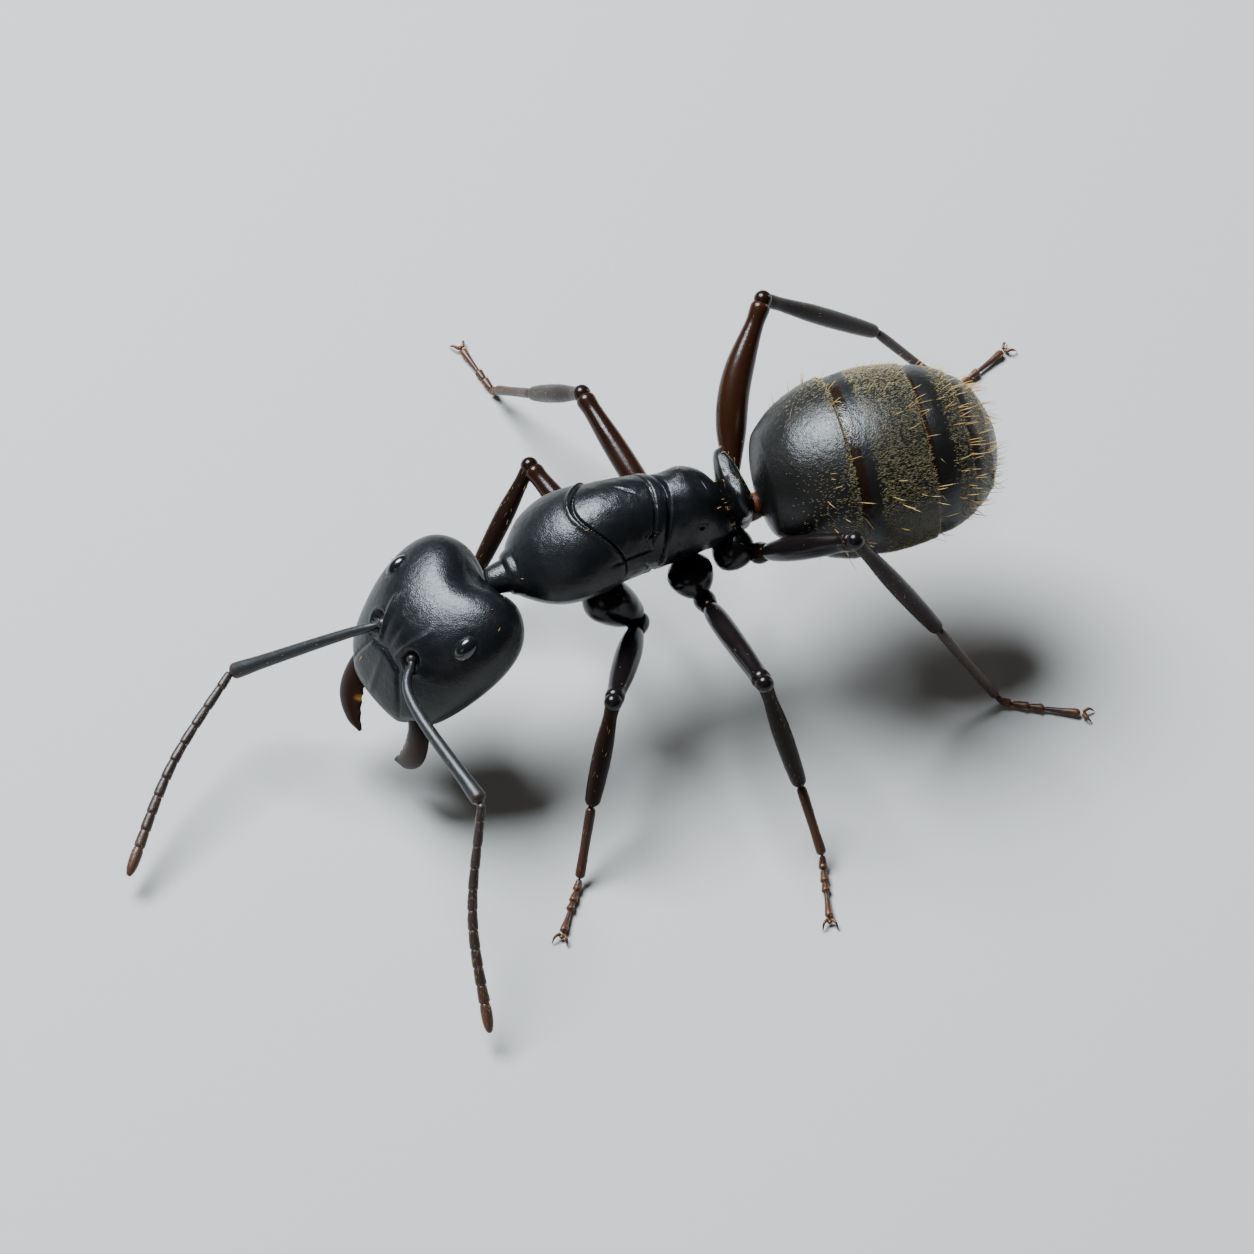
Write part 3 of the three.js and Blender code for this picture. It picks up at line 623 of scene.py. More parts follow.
def mesosoma():
    t = np.unique(np.concatenate([round_ends(160), np.linspace(0.01, 0.99, 230)]))
    t = t[(t > 0.0008) & (t < 0.9992)]
    angle = np.linspace(0, 2 * np.pi, 240, endpoint=False)[None, :]
    end = blunt(t, 7)
    top, bottom = along(MESO_TOPS, t), along(MESO_BOTTOMS, t)
    high = (top - bottom) / 2 * end
    wide = along(MESO_WIDTHS, t) * end
    upward = np.sin(angle)
    belly = np.where(upward < 0, 0.72 + 0.28 * (1 + upward), 1)
    x = wide[:, None] * belly * np.cos(angle)
    y = (COLLAR_Y + MESOSOMA_LENGTH * t)[:, None] + 0 * angle
    z = ((top + bottom) / 2)[:, None] + high[:, None] * upward
    grid = np.stack([x, y, z], -1)
    out = normals(grid)
    side = np.abs(x)
    push = np.zeros_like(x)
    upper = step(z, 3.5, 3.8)
    # Collar behind the neck.
    collar = 0.02 * np.exp(-(((y + 1.93) / 0.035) ** 2))
    groove = 0.03 * np.exp(-(((y + 1.84) / 0.04) ** 2))
    push += collar - groove * step(z, 3.3, 4.2)
    # Hind rim of the pronotum, standing over the plate behind it.
    rim = y - (PRO_SUTURE_Y + 0.95 * np.minimum(x * x, 0.8) + 0.2 * (z - 4.6))
    push += 0.022 * np.exp(-(((rim + 0.06) / 0.05) ** 2)) * step(z, 3.2, 3.5)
    push -= 0.08 * np.exp(-((rim / 0.026) ** 2)) * step(z, 2.95, 3.15)
    push -= 0.02 * (1 - step(rim, 0.0, 0.5)) * (rim > 0)
    # Metanotum between two grooves across the back.
    meta = y - (METANOTAL_Y - 0.3 * x * x + 0.18 * (z - 4.6))
    push -= 0.09 * np.exp(-((meta / 0.035) ** 2)) * upper
    push -= 0.035 * np.exp(-((meta / 0.02) ** 2)) * (1 - upper)
    front = meta + 0.27
    push -= 0.055 * np.exp(-((front / 0.024) ** 2)) * step(z, 4.2, 4.5)
    push += 0.02 * np.exp(-(((meta + 0.13) / 0.08) ** 2)) * step(z, 4.2, 4.5)
    # Edge of the mesonotal shield along the flank, and the plate seams below it.
    shield = z - (4.28 - 0.1 * (y + 0.6))
    middle = step(y, -0.5, -0.3) * (1 - step(meta, -0.3, -0.2))
    push -= 0.03 * np.exp(-((shield / 0.03) ** 2)) * middle
    seam = y - (0.34 - 0.35 * (z - 3.6))
    push -= 0.03 * np.exp(-((seam / 0.03) ** 2)) * step(z, 3.0, 3.2) * (1 - step(z, 3.85, 4.0))
    flank = z - (3.42 + 0.05 * np.sin(3 * y))
    push -= 0.02 * np.exp(-((flank / 0.03) ** 2)) * step(y, -0.3, 0.0) * (1 - step(y, 1.5, 1.7))
    # Breathing slits.
    for at_y, at_z, long, thin in ((0.42, 4.42, 0.08, 0.022), (1.3, 4.18, 0.05, 0.024)):
        hole = ((y - at_y) / long) ** 2 + ((z - at_z) / thin) ** 2
        push -= 0.05 * np.exp(-(hole**2)) - 0.012 * np.exp(-((hole - 3.0) ** 2))
    # Small folds on the back just before the waist.
    fold = (x + 0.06 - 0.9 * (y - 0.2)) / 0.025
    push -= 0.03 * np.exp(-(fold**2)) * np.exp(-(((y - 0.2) / 0.12) ** 2)) * step(z, 4.6, 4.7)
    # Gland swelling over the hind coxa.
    gland = np.exp(-(((y - 1.62) / 0.2) ** 2) - ((z - 3.42) / 0.12) ** 2)
    push += 0.05 * gland * step(side, 0.2, 0.35)
    # Propodeum: shallow dip down the middle and a hind rim.
    back = step(y, 1.0, 1.25)
    push -= 0.03 * back * np.exp(-((x / 0.16) ** 2)) * step(z, 4.3, 4.55)
    beads = 1 + 0.5 * np.sin(46 * angle) * np.sin(17 * angle + 0.6)
    push += 0.035 * beads * np.exp(-(((y - 1.93) / 0.03) ** 2)) * step(z, 3.0, 3.6)
    # Slow unevenness over the plates, and finer folds behind the pronotum.
    push += 0.006 * np.sin(5.1 * x + 1.3) * np.sin(4.3 * y + 0.4) * np.sin(4.7 * z)
    folds = np.sin(15 * y + 4 * z + 2 * np.sin(9 * x)) * np.sin(13 * z - 6 * y + 1.1)
    push += 0.0035 * folds * step(rim, 0.05, 0.3)
    grid = grid + out * push[..., None]
    tone = 0.35 * step(-z, -3.2, -2.9) + 0.25 * np.exp(-(((y - 1.97) / 0.08) ** 2))
    return grid, tone


MESO_SKIN, meso_tone = mesosoma()
# Places along the neck and the waist's stalk.
TUBE_T = np.linspace(0.004, 0.996, 40)
NECK_RADII = [
    along([(0, r), (0.35, r), (0.7, 0.86 * r), (1, 0.7 * r)], TUBE_T) * blunt(TUBE_T, 8)
    for r in (0.32, 0.27, 0.27)
]
neck = ringed(curve([(0, -1.66, 3.7), (-0.06, -2.3, 3.62)], len(TUBE_T)), *NECK_RADII, 48)
body = Skin("thorax_shell")
body.add(MESO_SKIN, meso_tone)
body.add(neck, 0.0)
body.build(BLACK, ["prothorax", "mesothorax", "propodeum"], "shell")


# ---- Petiole ----


def petiole_scale():
    """The upright scale of the waist, dented along its rim and brown at its foot."""
    t = round_ends(90)[1:-1]
    end = blunt(t, 7)
    half = along([(0, 0.18), (0.35, 0.38), (0.75, 0.68), (1, 0.6)], t) * end
    thick = along([(0, 0.14), (0.4, 0.26), (1, 0.15)], t) * end
    centres = PETIOLE_FOOT + (PETIOLE_CREST - PETIOLE_FOOT) * t[:, None]
    grid = ringed(centres, half, thick, thick, 90, 2.15, up=(0, 1, 0))
    crest = np.exp(-(((grid[..., 0] - PETIOLE_CREST[0]) / 0.14) ** 2)) * step(t, 0.8, 1)[:, None]
    grid[..., 2] -= 0.05 * crest
    dents = np.sin(11 * grid[..., 0] + 7 * grid[..., 2]) * np.sin(9 * grid[..., 2] + 0.7)
    grid = grid + normals(grid) * (0.012 * dents * np.sin(np.pi * t)[:, None])[..., None]
    return grid, 1 - step(t, 0.2, 0.5)


scale_grid, scale_tone = petiole_scale()
petiole = Skin("petiole_scale")
petiole.add(scale_grid, scale_tone)
stalk_r = along([(0, 0.2), (0.3, 0.24), (0.7, 0.24), (1, 0.17)], TUBE_T) * blunt(TUBE_T, 8)
stalk = curve([(0, 1.76, 3.42), (0.03, 2.74, 3.5)], len(TUBE_T))
petiole.add(ringed(stalk, stalk_r, stalk_r, stalk_r, 48), 1.0)
petiole.build(BLACK, ["petiole"], "shell")


# ---- Gaster ----


def gaster_segment(index, rings, sides=300):
    length = np.linalg.norm(GASTER_REAR - GASTER_FRONT)
    cut = 0.012 / length
    start = GASTER_SUTURES[index] - (0.02 if index else 0)
    stop = GASTER_SUTURES[index + 1] - cut
    last = index == 4
    t = np.linspace(0, 1, rings)
    if index == 0:
        t = 1 - np.cos(t * np.pi / 2)
    if last:
        t = np.sin(t * np.pi / 2) * 0.9995
    s = start + (stop - start) * t
    whole = np.sqrt(1 - (1 - np.minimum(1, t / 0.12)) ** 2) if index == 0 else np.ones_like(t)
    tip = np.sqrt(np.maximum(0, 1 - t * t)) if last else np.ones_like(t)
    lip = np.ones_like(t) if index == 0 else 0.972 + 0.028 * step(t, 0, 0.5)
    if not last:
        lip = lip * (1 - 0.012 * step(t, 0.985, 1.0))
    r = np.maximum(along(GASTER_PROFILE, s) * lip * whole * tip, 0.002)
    centres = GASTER_FRONT + (GASTER_REAR - GASTER_FRONT) * s[:, None]
    if not last:
        centres = np.vstack([centres, centres[-1:], centres[-1:]])
        r = np.concatenate([r, r[-1:] * 0.985, r[-1:] * 0.93])
        t = np.concatenate([t, [1, 1]])
    axis = unit(GASTER_REAR - GASTER_FRONT)
    wide = unit(np.cross(axis, vec(0, 0, 1)))
    high = np.cross(wide, axis)
    angle = np.linspace(0, 2 * np.pi, sides, endpoint=False)[None, :]
    # The back plate stands a little over the belly plate along the flank.
    flank = 0.018 * step(np.sin(angle), -0.42, -0.38)
    x = GASTER_HALF_WIDTH * r[:, None] * np.cos(angle) * (0.985 + flank)
    z = GASTER_HALF_HEIGHT * r[:, None] * np.sin(angle) * (0.985 + flank)
    grid = centres[:, None] + wide * x[..., None] + high * z[..., None]
    # Base of each plate is smooth and brown, its hind edge thin and clear.
    base = (1 - step(t, 0.14, 0.24)) if index else 0 * t
    edge = step(t, 0.97, 0.99)
    tone = np.maximum(0.5 * base, 0.8 * edge)[:, None] * np.ones_like(angle)
    tone = np.maximum(tone, 0.35 * (1 - step(np.sin(angle), -0.7, -0.2)) * np.ones_like(tone))
    return grid, tone


GASTER_SKINS = []
gaster = Skin("gaster_plates")
for index in range(5):
    grid, tone = gaster_segment(index, rings=(110, 90, 60, 40, 30)[index])
    GASTER_SKINS.append(grid)
    gaster.add(grid, tone)
gaster.build(GASTER_LOOK, [f"gaster_{k}" for k in range(1, 6)], "gaster")


# ---- Legs and feelers ----

LEG_GRIDS = []


# Half thickness of each femur at its middle and how red it is, where it isn't the usual one. The far-side
# femora's extra red is a painted glow of light shining through them, over their own red-brown.
FEMUR_HALF = {"l1": 0.22, "l2": 0.19, "r3": 0.265}
FEMUR_RED_AND_GLOW = {"r1": 0.33, "r2": 0.33, "r3": 0.37}
# Heights of the foot's joints over the floor, from the basitarsus to the claws.
TOE_HEIGHTS = (0.125, 0.095, 0.1)


def on_floor(at, height):
    return vec(at[0], at[1], height)


def joint_ball(skin, at, radius, tone, stretch=(1, 1, 1)):
    skin.add(dome(at, np.array(stretch) * radius, 16, 24), tone)


def leg(name, joints):
    hip, trochanter, knee, ankle, bend, foot = (np.array(p) for p in joints)
    part = Skin("leg_" + name)
    coxa, places = limb(
        [hip, hip + (trochanter - hip) * 0.97],
        [(0, 0.36), (0.3, 0.41), (0.6, 0.36), (0.85, 0.25), (1, 0.19)],
        44,
        30,
    )
    part.add(coxa, 0.02 + 0.2 * step(places, 0.85, 1.0))
    LEG_GRIDS.append(("coxa", coxa))
    run = unit(knee - trochanter)
    ring, places = limb(
        [trochanter - run * 0.06, trochanter + run * 0.5],
        [(0, 0.15), (0.4, 0.19), (0.8, 0.15), (1, 0.12)],
        26,
        24,
    )
    part.add(ring, 0.1 + 0.2 * np.exp(-(((places - 0.85) / 0.2) ** 2)))
    thick = FEMUR_HALF.get(name, 0.21)
    start = trochanter + run * 0.36
    femur, places = limb(
        [start, (start + knee) / 2 + vec(*FEMUR_BOW.get(name, (0, 0, 0))), knee],
        [(0, 0.11), (0.1, 0.17), (0.3, thick), (0.6, thick * 0.95), (0.86, 0.16), (0.95, 0.172), (1, 0.16)],
        90,
        28,
    )
    # Femur red: the leg's own red-brown, raised on the far legs by a painted glow of light shining through
    # them; the knee ball takes it too.
    red_and_glow = FEMUR_RED_AND_GLOW.get(name, 0.06)
    tone = red_and_glow + 0.15 * (1 - step(places, 0.0, 0.16)) + 0.12 * step(places, 0.93, 1.0)
    # The rear-facing side of the far middle and hind femora is painted paler orange: a painted back-light
    # glow along that edge.
    if name in ("r2", "r3"):
        tone = tone[:, None] + 0.3 * step(normals(femur)[..., 1], 0.45, 0.95)
    part.add(femur, np.clip(tone, 0, 1))
    LEG_GRIDS.append(("femur", femur))
    joint_ball(part, knee, 0.155, red_and_glow * 0.8)
    part.build(LIMB, ["coxa_" + name, "femur_" + name], "limb")
    shin_piece(name, knee, ankle, bend)
    foot_piece(name, ankle, bend, foot)


def shin_piece(name, knee, ankle, bend):
    part = Skin("shin_" + name)
    shin_run = unit(ankle - knee)
    tibia, places = limb(
        [knee - shin_run * 0.04, ankle],
        [(0, 0.11), (0.06, 0.125), (0.16, 0.12), (0.45, 0.16), (0.75, 0.155), (0.95, 0.13), (1, 0.11)],
        80,
        24,
    )
    tone = 0.12 + 0.15 * (1 - step(places, 0.02, 0.1)) + 0.25 * step(places, 0.9, 1.0)
    part.add(tibia, np.clip(tone, 0, 1))
    LEG_GRIDS.append(("tibia", tibia))
    beside = unit(np.cross(shin_run, vec(0, 0, 1)))
    inward = unit(bend - ankle)
    root = ankle - shin_run * 0.06 + beside * 0.03
    track = [root, root + inward * 0.16 + shin_run * 0.1, root + inward * 0.36 + shin_run * 0.12]
    spur, places = limb(track, [(0, 0.028), (0.5, 0.02), (1, 0.006)], 14, 10)
    part.add(spur, 0.8)
    part.build(SHIN, ["tibia_" + name], "limb")


def foot_piece(name, ankle, bend, foot):
    near, middle, far = TOE_HEIGHTS
    tip = on_floor(foot, far)
    low = bend + (foot - bend) * 0.12
    first_end = on_floor(bend, max(0.16, bend[2] - 0.12))
    tarsus = Skin("foot_" + name)
    slim = [(0, 0.07), (0.1, 0.088), (0.6, 0.08), (0.95, 0.085), (1, 0.06)]
    first, places = limb([ankle, first_end], slim, 34, 16)
    tarsus.add(first, 0.15 + 0.3 * places)
    LEG_GRIDS.append(("foot", first))
    track = curve([first_end, on_floor(low, near), on_floor((low + tip) / 2, middle), tip], 200)
    cuts = [0, 0.24, 0.43, 0.6, 1.0]
    for k in range(4):
        a, b = int(cuts[k] * 199), int(cuts[k + 1] * 199)
        spots = track[max(0, a - 6) : b + 1 : 3]
        slim = [(0, 0.045), (0.55, 0.066), (0.9, 0.074), (1, 0.05)]
        if k == 3:
            slim = [(0, 0.036), (0.5, 0.05), (0.9, 0.068), (1, 0.05)]
        segment, places = limb(spots[:: max(1, len(spots) // 6)], slim, 20, 14)
        tarsus.add(segment, 0.35 + 0.35 * places)
        LEG_GRIDS.append(("foot", segment))
    forward = unit((tip - track[-30]) * vec(1, 1, 0))
    aside = unit(np.cross(forward, vec(0, 0, 1)))
    for sign in (1, -1):
        root = tip + aside * sign * 0.03 + forward * 0.02
        arch = root + forward * 0.1 + aside * sign * 0.07 + vec(0, 0, 0.02)
        point = root + forward * 0.19 + aside * sign * 0.1 - vec(0, 0, 0.075)
        claw, places = limb([root, arch, point], [(0, 0.03), (0.4, 0.025), (1, 0.006)], 14, 10)
        tarsus.add(claw, 0.9 - 0.6 * places)
    joint_ball(tarsus, tip + forward * 0.06 - vec(0, 0, 0.025), 0.045, 0.7, (1, 1, 0.7))
    tarsus.build(FOOT, ["tarsus_" + name], "foot")


for name, joints in LEGS.items():
    leg(name, joints)


# Relative lengths of the ten joints of the lash after its first.
LASH_LENGTHS = [1.25, 1.1, 1.05, 1, 0.98, 0.95, 0.92, 0.9, 0.88, 1.45]
LASH_FIRST = 0.085


def feeler(name, joints):
    sign = 1 if name == "l" else -1
    root = from_head(SOCKET_AT * vec(sign, 1, 1) + vec(0, 0, 0.02))
    elbow, middle, tip = (np.array(p) for p in joints)
    bowed = root + (elbow - root) * 0.3 + vec(*SCAPE_BOW[name])
    part = Skin("feeler_base_" + name)
    joint_ball(part, root, 0.1, 0.2)
    scape, places = limb(
        [root, bowed, elbow],
        [(0, 0.06), (0.04, 0.055), (0.09, 0.075), (0.35, 0.095), (0.8, 0.12), (0.97, 0.14), (1, 0.11)],
        90,
        22,
    )
    part.add(scape, 0.5 * step(places, 0.9, 1.0))
    LEG_GRIDS.append(("scape", scape))
    part.build(FEELER, ["scape_" + name], "limb")
    lash = Skin("feeler_lash_" + name)
    track = curve([elbow, middle, tip], 400)
    rest = np.cumsum(LASH_LENGTHS) / sum(LASH_LENGTHS)
    cuts = np.concatenate([[0, LASH_FIRST], LASH_FIRST + (1 - LASH_FIRST) * rest])
    for k in range(11):
        a, b = int(max(0, cuts[k] * 399 - 5)), int(min(399, cuts[k + 1] * 399 + 3))
        spots = track[[a, (a + b) // 2, b]]
        broad = 0.08 + 0.018 * k / 10
        slim = [(0, broad * 0.78), (0.2, broad * 0.9), (0.8, broad), (1, broad * 0.88)]
        if k == 10:
            slim = [(0, broad * 0.78), (0.3, broad), (0.75, broad * 0.85), (1, broad * 0.4)]
        segment, places = limb(spots, slim, 16, 16)
        lash.add(segment, 0.3 + 0.4 * (k / 10) ** 2 + 0.08 * places)
        LEG_GRIDS.append(("lash", segment))
    lash.build(FEELER, ["funiculus_" + name], "foot")


for name, joints in ANTENNAE.items():
    feeler(name, joints)


# ---- Bristles and down ----


# Width of one hair's own patch on the unwrap.
BAKE_PATCH = 0.003


class Coat:
    """Tapered solid hairs joined in one mesh. OFBake holds each one at its root's place on the skin."""

    def __init__(self, name):
        self.name = name
        self.sets = []

    def sow(self, grid, count, weight, lie, length, width, lift, jitter=0.25, patch=(0, 0, 1, 1), bend=0.25):
        """Roots spread over a grid by weight(points, out). lie is the way the hair points along the skin."""
        rings, sides = grid.shape[:2]
        a, b = grid[:-1], grid[1:]
        c, d = np.roll(b, -1, 1), np.roll(a, -1, 1)
        area = np.linalg.norm(np.cross(c - a, d - b), axis=-1) / 2
        middle = (a + b + c + d) / 4
        out = normals(grid)[:-1]
        chance = (area * weight(middle, out)).ravel()
        pick = rng.choice(len(chance), size=count, p=chance / chance.sum())
        i, j = np.divmod(pick, sides)
        u, v = rng.random(count), rng.random(count)
        root = (
            a[i, j] * ((1 - u) * (1 - v))[:, None]
            + b[i, j] * ((1 - u) * v)[:, None]
            + d[i, j] * (u * (1 - v))[:, None]
            + c[i, j] * (u * v)[:, None]
        )
        n = out[i, j]
        flow = lie(root, n)
        flow = unit(flow - n * (flow * n).sum(1, keepdims=True))
        wander = rng.normal(size=(count, 3)) * jitter
        flow = unit(flow + wander - n * (wander * n).sum(1, keepdims=True))
        rise = np.clip(rng.normal(lift, 0.12, count), 0.04, 1.4)[:, None]
        aim = unit(flow * np.cos(rise) + n * np.sin(rise))
        size = length * rng.uniform(0.7, 1.25, count)
        px = patch[0] + patch[2] * (j + u) / sides
        py = patch[1] + patch[3] * (i + v) / rings
        sunk = root - n * min(0.012, 0.05 * length)
        girth = width * rng.uniform(0.8, 1.2, count)
        self.sets.append((sunk, aim, flow, n, size, girth, np.stack([px, py], 1), bend))

    def build(self, material, slot, stages=((0, 1), (0.4, 0.85), (0.75, 0.5))):
        """stages are the (place, slimness) of the rings of three points below each tip."""
        corners = 3 * len(stages) + 1
        tip = corners - 1
        local = [(0, 2, 1)]
        for k in range(len(stages) - 1):
            for m in range(3):
                p, q = 3 * k + m, 3 * k + (m + 1) % 3
                local += [(p, q, q + 3), (p, q + 3, p + 3)]
        local += [(tip - 3, tip - 2, tip), (tip - 2, tip - 1, tip), (tip - 1, tip - 3, tip)]
        local = np.array(local)
        shade = np.array([place for place, _ in stages for _ in range(3)] + [1.0])
        spot = [(m / 2, 0.8 * place) for place, _ in stages for m in range(3)] + [(0.5, 1.0)]
        spot = np.array(spot) * BAKE_PATCH
        all_points, all_faces, all_tone, all_uv, count = [], [], [], [], 0
        for root, aim, flow, n, size, width, uv, bend in self.sets:
            beside = unit(np.cross(aim, n) + 1e-9)
            over = np.cross(beside, aim)
            points = []
            for place, slim in (*stages, (1.0, 0)):
                at = root + aim * (size * place)[:, None] + (flow - n) * (size * bend * place**2)[:, None]
                for angle in (math.pi / 2, math.pi * 7 / 6, math.pi * 11 / 6) if slim else (0,):
                    around = beside * math.cos(angle) + over * math.sin(angle)
                    points.append(at + around * (width * slim)[:, None])
            many = len(root)
            base = count + np.arange(many)[:, None, None] * corners
            all_faces.append((base + local[None]).reshape(-1, 3))
            all_points.append(np.stack(points, 1).reshape(-1, 3))
            all_tone.append(np.tile(shade, many))
            all_uv.append((uv[:, None] + spot[None]).reshape(-1, 2))
            count += many * corners
        points = (np.vstack(all_points) + SHIFT) * MM
        faces = np.vstack(all_faces)
        mesh = bpy.data.meshes.new(self.name)
        mesh.from_pydata(points.tolist(), [], faces.tolist())
        mesh.polygons.foreach_set("use_smooth", [True] * len(mesh.polygons))
        tone = mesh.attributes.new("tone", "FLOAT", "POINT")
        tone.data.foreach_set("value", np.concatenate(all_tone).astype(np.float32))
        layer = mesh.uv_layers.new(name="OFBake")
        corner_uv = np.clip(np.vstack(all_uv)[faces.ravel()], 0, 1)
        layer.data.foreach_set("uv", corner_uv.astype(np.float32).ravel())
        mesh.materials.append(material)
        made = bpy.data.objects.new(self.name, mesh)
        bpy.context.scene.collection.objects.link(made)
        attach(made, "root")


AXIS = unit(GASTER_REAR - GASTER_FRONT)


def pointing(direction):
    """A lie for hairs that all point one way."""
    return lambda root, n: np.broadcast_to(direction, root.shape)


def back_part(low, high):
    """Where on a gaster plate the hairs grow, by how far along the gaster a point is."""

    def weight(points, out):
        s = (points - GASTER_FRONT) @ AXIS / np.linalg.norm(GASTER_REAR - GASTER_FRONT)
        upward = 0.35 + 0.65 * step(out[..., 2], -0.5, 0.1)
        return step(s, *low) * (1 - step(s, *high)) * upward

    return weight


# Where each plate lies on the gaster's unwrap: left, low edge, width, height.
PATCH = [
    (0.01, 0.01, 0.97, 0.3),
    (0.01, 0.33, 0.97, 0.28),
    (0.01, 0.63, 0.97, 0.16),
    (0.01, 0.81, 0.97, 0.09),
    (0.01, 0.91, 0.97, 0.07),
]
backward = pointing(AXIS)
FINE = ((0, 1), (0.5, 0.8))
for name, plate, plots, size in (
    ("down_first_plate", 0, [(2200, (0.06, 0.3), (0.338, 0.345)), (1800, (0.3, 0.33), (0.34, 0.345))], 0.055),
    ("down_second_plate", 1, [(10500, (0.415, 0.44), (0.655, 0.67))], 0.058),
    ("down_third_plate", 2, [(2400, (0.74, 0.77), (0.835, 0.845))], 0.06),
    ("down_hind_plates", 3, [(1400, (0.865, 0.88), (0.93, 0.94))], 0.07),
    ("down_last_plate", 4, [(700, (0.945, 0.955), (0.99, 1.0))], 0.06),
):
    coat = Coat(name)
    for many, grow, fade in plots:
        weight = back_part(grow, fade)
        coat.sow(
            GASTER_SKINS[plate], many, weight, backward, size, 0.0027, 0.24, 0.3, PATCH[plate], bend=0.05
        )
    coat.build(DOWN, "gaster", FINE)

bristles = Coat("gaster_bristles")
for k, many in ((0, 26), (1, 48), (2, 56), (3, 44)):
    edge = GASTER_SUTURES[k + 1]
    row = back_part((edge - 0.03, edge - 0.02), (edge - 0.004, edge))
    bristles.sow(GASTER_SKINS[k], many, row, backward, 0.3, 0.007, 0.85, 0.15, PATCH[k], bend=0.12)
for k, many, low, high in (
    (0, 34, 0.1, 0.32),
    (1, 44, 0.46, 0.64),
    (2, 44, 0.74, 0.82),
    (3, 34, 0.88, 0.92),
    (4, 30, 0.945, 0.99),
):
    field = back_part((low, low + 0.01), (high, high + 0.01))
    bristles.sow(GASTER_SKINS[k], many, field, backward, 0.28, 0.006, 1.1, 0.2, PATCH[k], bend=0.12)
bristles.build(GOLD, "gaster")


def rear_rim(points, out):
    return np.exp(-(((points[..., 1] - 1.9) / 0.07) ** 2)) * step(points[..., 2], 3.5, 3.9)


def everywhere_up(points, out):
    return step(out[..., 2], -0.1, 0.5)


def scale_rim(points, out):
    return step(points[..., 2], 4.3, 4.5)


THORAX_PATCH = (0.01, 0.01, 0.97, 0.4)
HEAD_PATCH = (0.01, 0.45, 0.97, 0.4)
SCALE_PATCH = (0.01, 0.88, 0.97, 0.1)
to_rear = pointing(vec(0, 1, 0))
to_face = pointing(from_head(vec(0, 1, 0)) - HEAD_AT)
to_crest = pointing(vec(0, 0.3, 1))
thin = Coat("body_bristles")
thin.sow(MESO_SKIN, 24, rear_rim, to_rear, 0.1, 0.006, 0.8, patch=THORAX_PATCH)
thin.sow(MESO_SKIN, 6, everywhere_up, to_rear, 0.13, 0.0055, 0.9, patch=THORAX_PATCH)
thin.sow(HEAD_SKIN, 8, everywhere_up, to_face, 0.11, 0.005, 0.9, patch=HEAD_PATCH)
thin.sow(scale_grid, 18, scale_rim, to_crest, 0.12, 0.006, 0.7, patch=SCALE_PATCH)
thin.build(GOLD, "shell")

limbs = Coat("limb_bristles")
# How many hairs a limb piece bears, their length, half thickness and lift.
LIMB_HAIRS = {
    "coxa": (3, 0.07, 0.004, 0.7),
    "femur": (16, 0.06, 0.0036, 0.3),
    "tibia": (60, 0.08, 0.004, 0.35),
    "foot": (16, 0.06, 0.004, 0.4),
    "scape": (40, 0.05, 0.0036, 0.3),
    "lash": (40, 0.045, 0.0034, 0.3),
}


def evenly(points, out):
    return np.ones(points.shape[:-1])


for k, (kind, grid) in enumerate(LEG_GRIDS):
    run = unit(grid[-1].mean(0) - grid[0].mean(0))
    many, size, girth, rise = LIMB_HAIRS[kind]
    plot = (0.01 + 0.12 * (k % 8), 0.01 + 0.07 * (k // 8), 0.1, 0.055)
    limbs.sow(grid, many, evenly, pointing(run), size, girth, rise, patch=plot)
limbs.build(LEG_HAIR, "limb")


# ---- Camera, light and floor ----

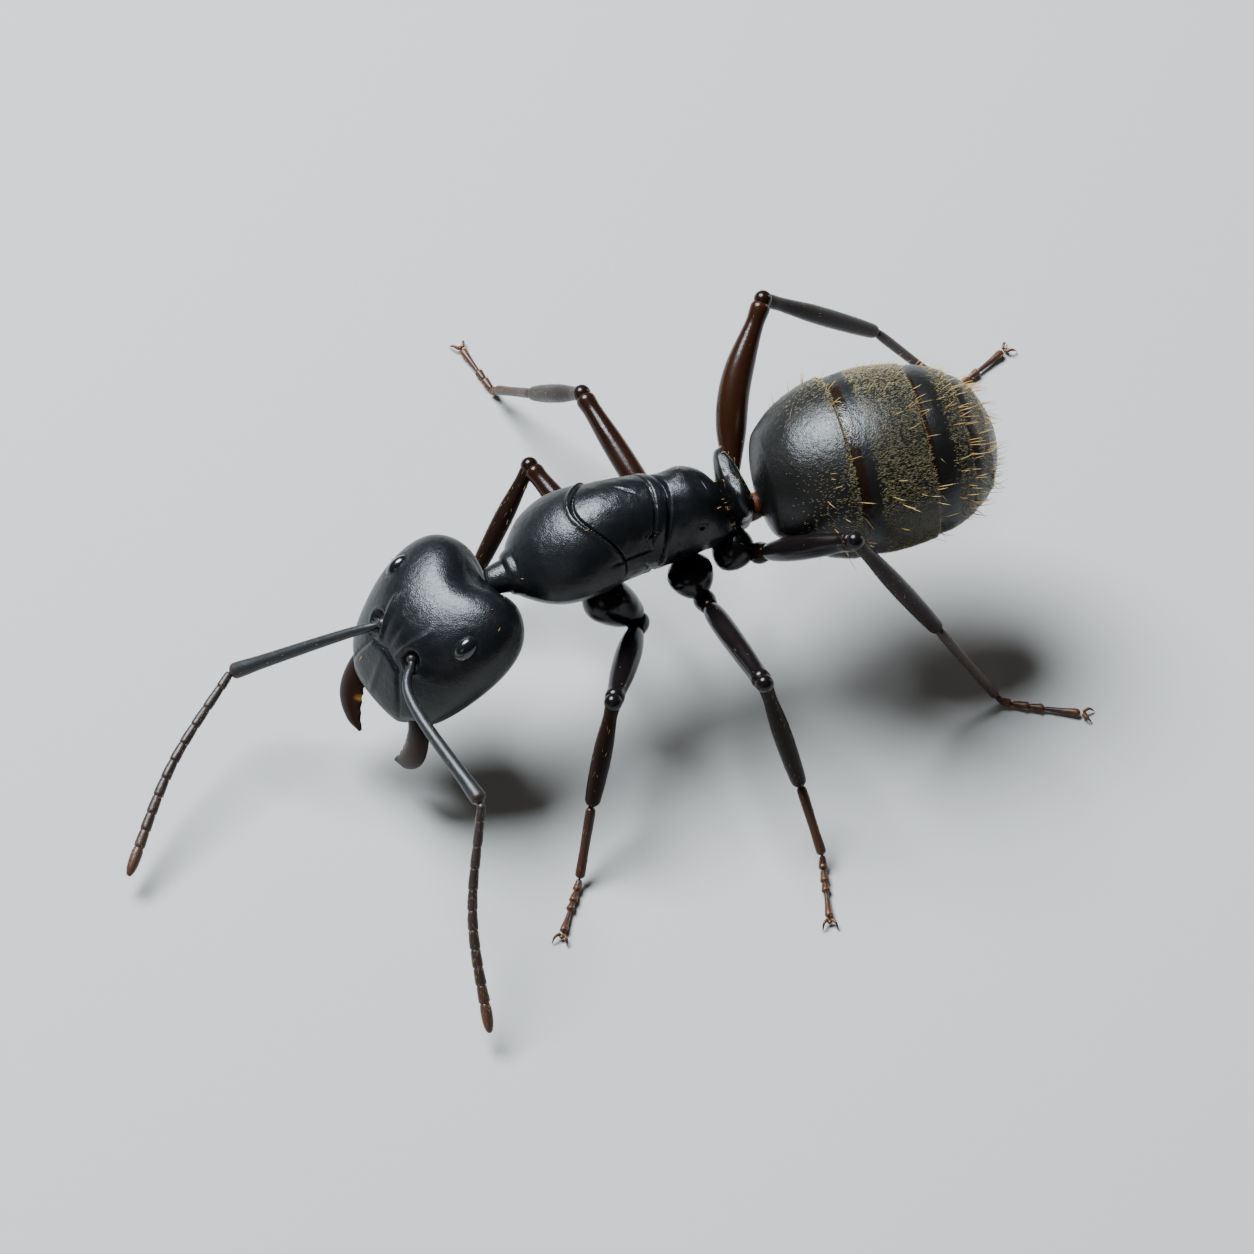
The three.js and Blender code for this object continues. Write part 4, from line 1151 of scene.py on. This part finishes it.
# From the ant to the camera, the level direction that runs rightward, and the camera's small roll.
toward = unit(vec(0.5744, -0.2216, 0.788))
level = vec(0.360, 0.933, 0)
level = unit(level - toward * (level @ toward))
upright = np.cross(toward, level)
roll = math.radians(-0.9)
right = math.cos(roll) * level + math.sin(roll) * upright
above = np.cross(toward, right)
CAMERA_FAR, AIM_RIGHT, AIM_UP = 150, 0.151, 0.838
place = (AIM_RIGHT * right + AIM_UP * above + CAMERA_FAR * toward + SHIFT) * MM

camera = bpy.data.objects.new("camera", bpy.data.cameras.new("camera"))
bpy.context.scene.collection.objects.link(camera)
bpy.context.scene.camera = camera
camera.data.lens = 253.2
camera.data.sensor_width = 36
camera.data.clip_start = 0.01
camera.data.clip_end = 5
axes = np.vstack([np.column_stack([right, above, toward, place]), [0, 0, 0, 1]])
camera.matrix_world = Matrix(axes.tolist())


def softbox(name, at, size, power, colour, aim=(0, 0, 0.003)):
    light = bpy.data.objects.new(name, bpy.data.lights.new(name, "AREA"))
    light.data.shape = "DISK"
    light.data.size = size
    light.data.energy = power
    light.data.color = colour
    light.location = at
    light.rotation_mode = "QUATERNION"
    light.rotation_quaternion = (Vector(at) - Vector(aim)).to_track_quat("Z", "Y")
    bpy.context.scene.collection.objects.link(light)


softbox("sky", (-0.055, -0.028, 0.115), 0.078, 0.62, (0.84, 0.92, 1.0))
softbox("fill", (0.09, -0.1, 0.07), 0.05, 0.008, (1.0, 0.97, 0.93))
softbox("rim", (-0.02, 0.14, 0.03), 0.05, 0.03, (1.0, 0.92, 0.82))

world = bpy.data.worlds.new("studio")
bpy.context.scene.world = world
world.use_nodes = True
world.node_tree.nodes["Background"].inputs["Color"].default_value = (0.75, 0.8, 0.86, 1)
world.node_tree.nodes["Background"].inputs["Strength"].default_value = 0.06

floor_mesh = bpy.data.meshes.new("floor")
FLOOR_HALF = 0.6
corners = [(x * FLOOR_HALF, y * FLOOR_HALF, 0) for x, y in ((-1, -1), (1, -1), (1, 1), (-1, 1))]
floor_mesh.from_pydata(corners, [], [(0, 1, 2, 3)])
floor = bpy.data.objects.new("floor", floor_mesh)
bpy.context.scene.collection.objects.link(floor)
floor_look = bpy.data.materials.new("floor")
floor_look.use_nodes = True
floor_shader = floor_look.node_tree.nodes["Principled BSDF"]
floor_shader.inputs["Base Color"].default_value = (0.44, 0.428, 0.41, 1)
floor_shader.inputs["Roughness"].default_value = 0.8
floor_mesh.materials.append(floor_look)
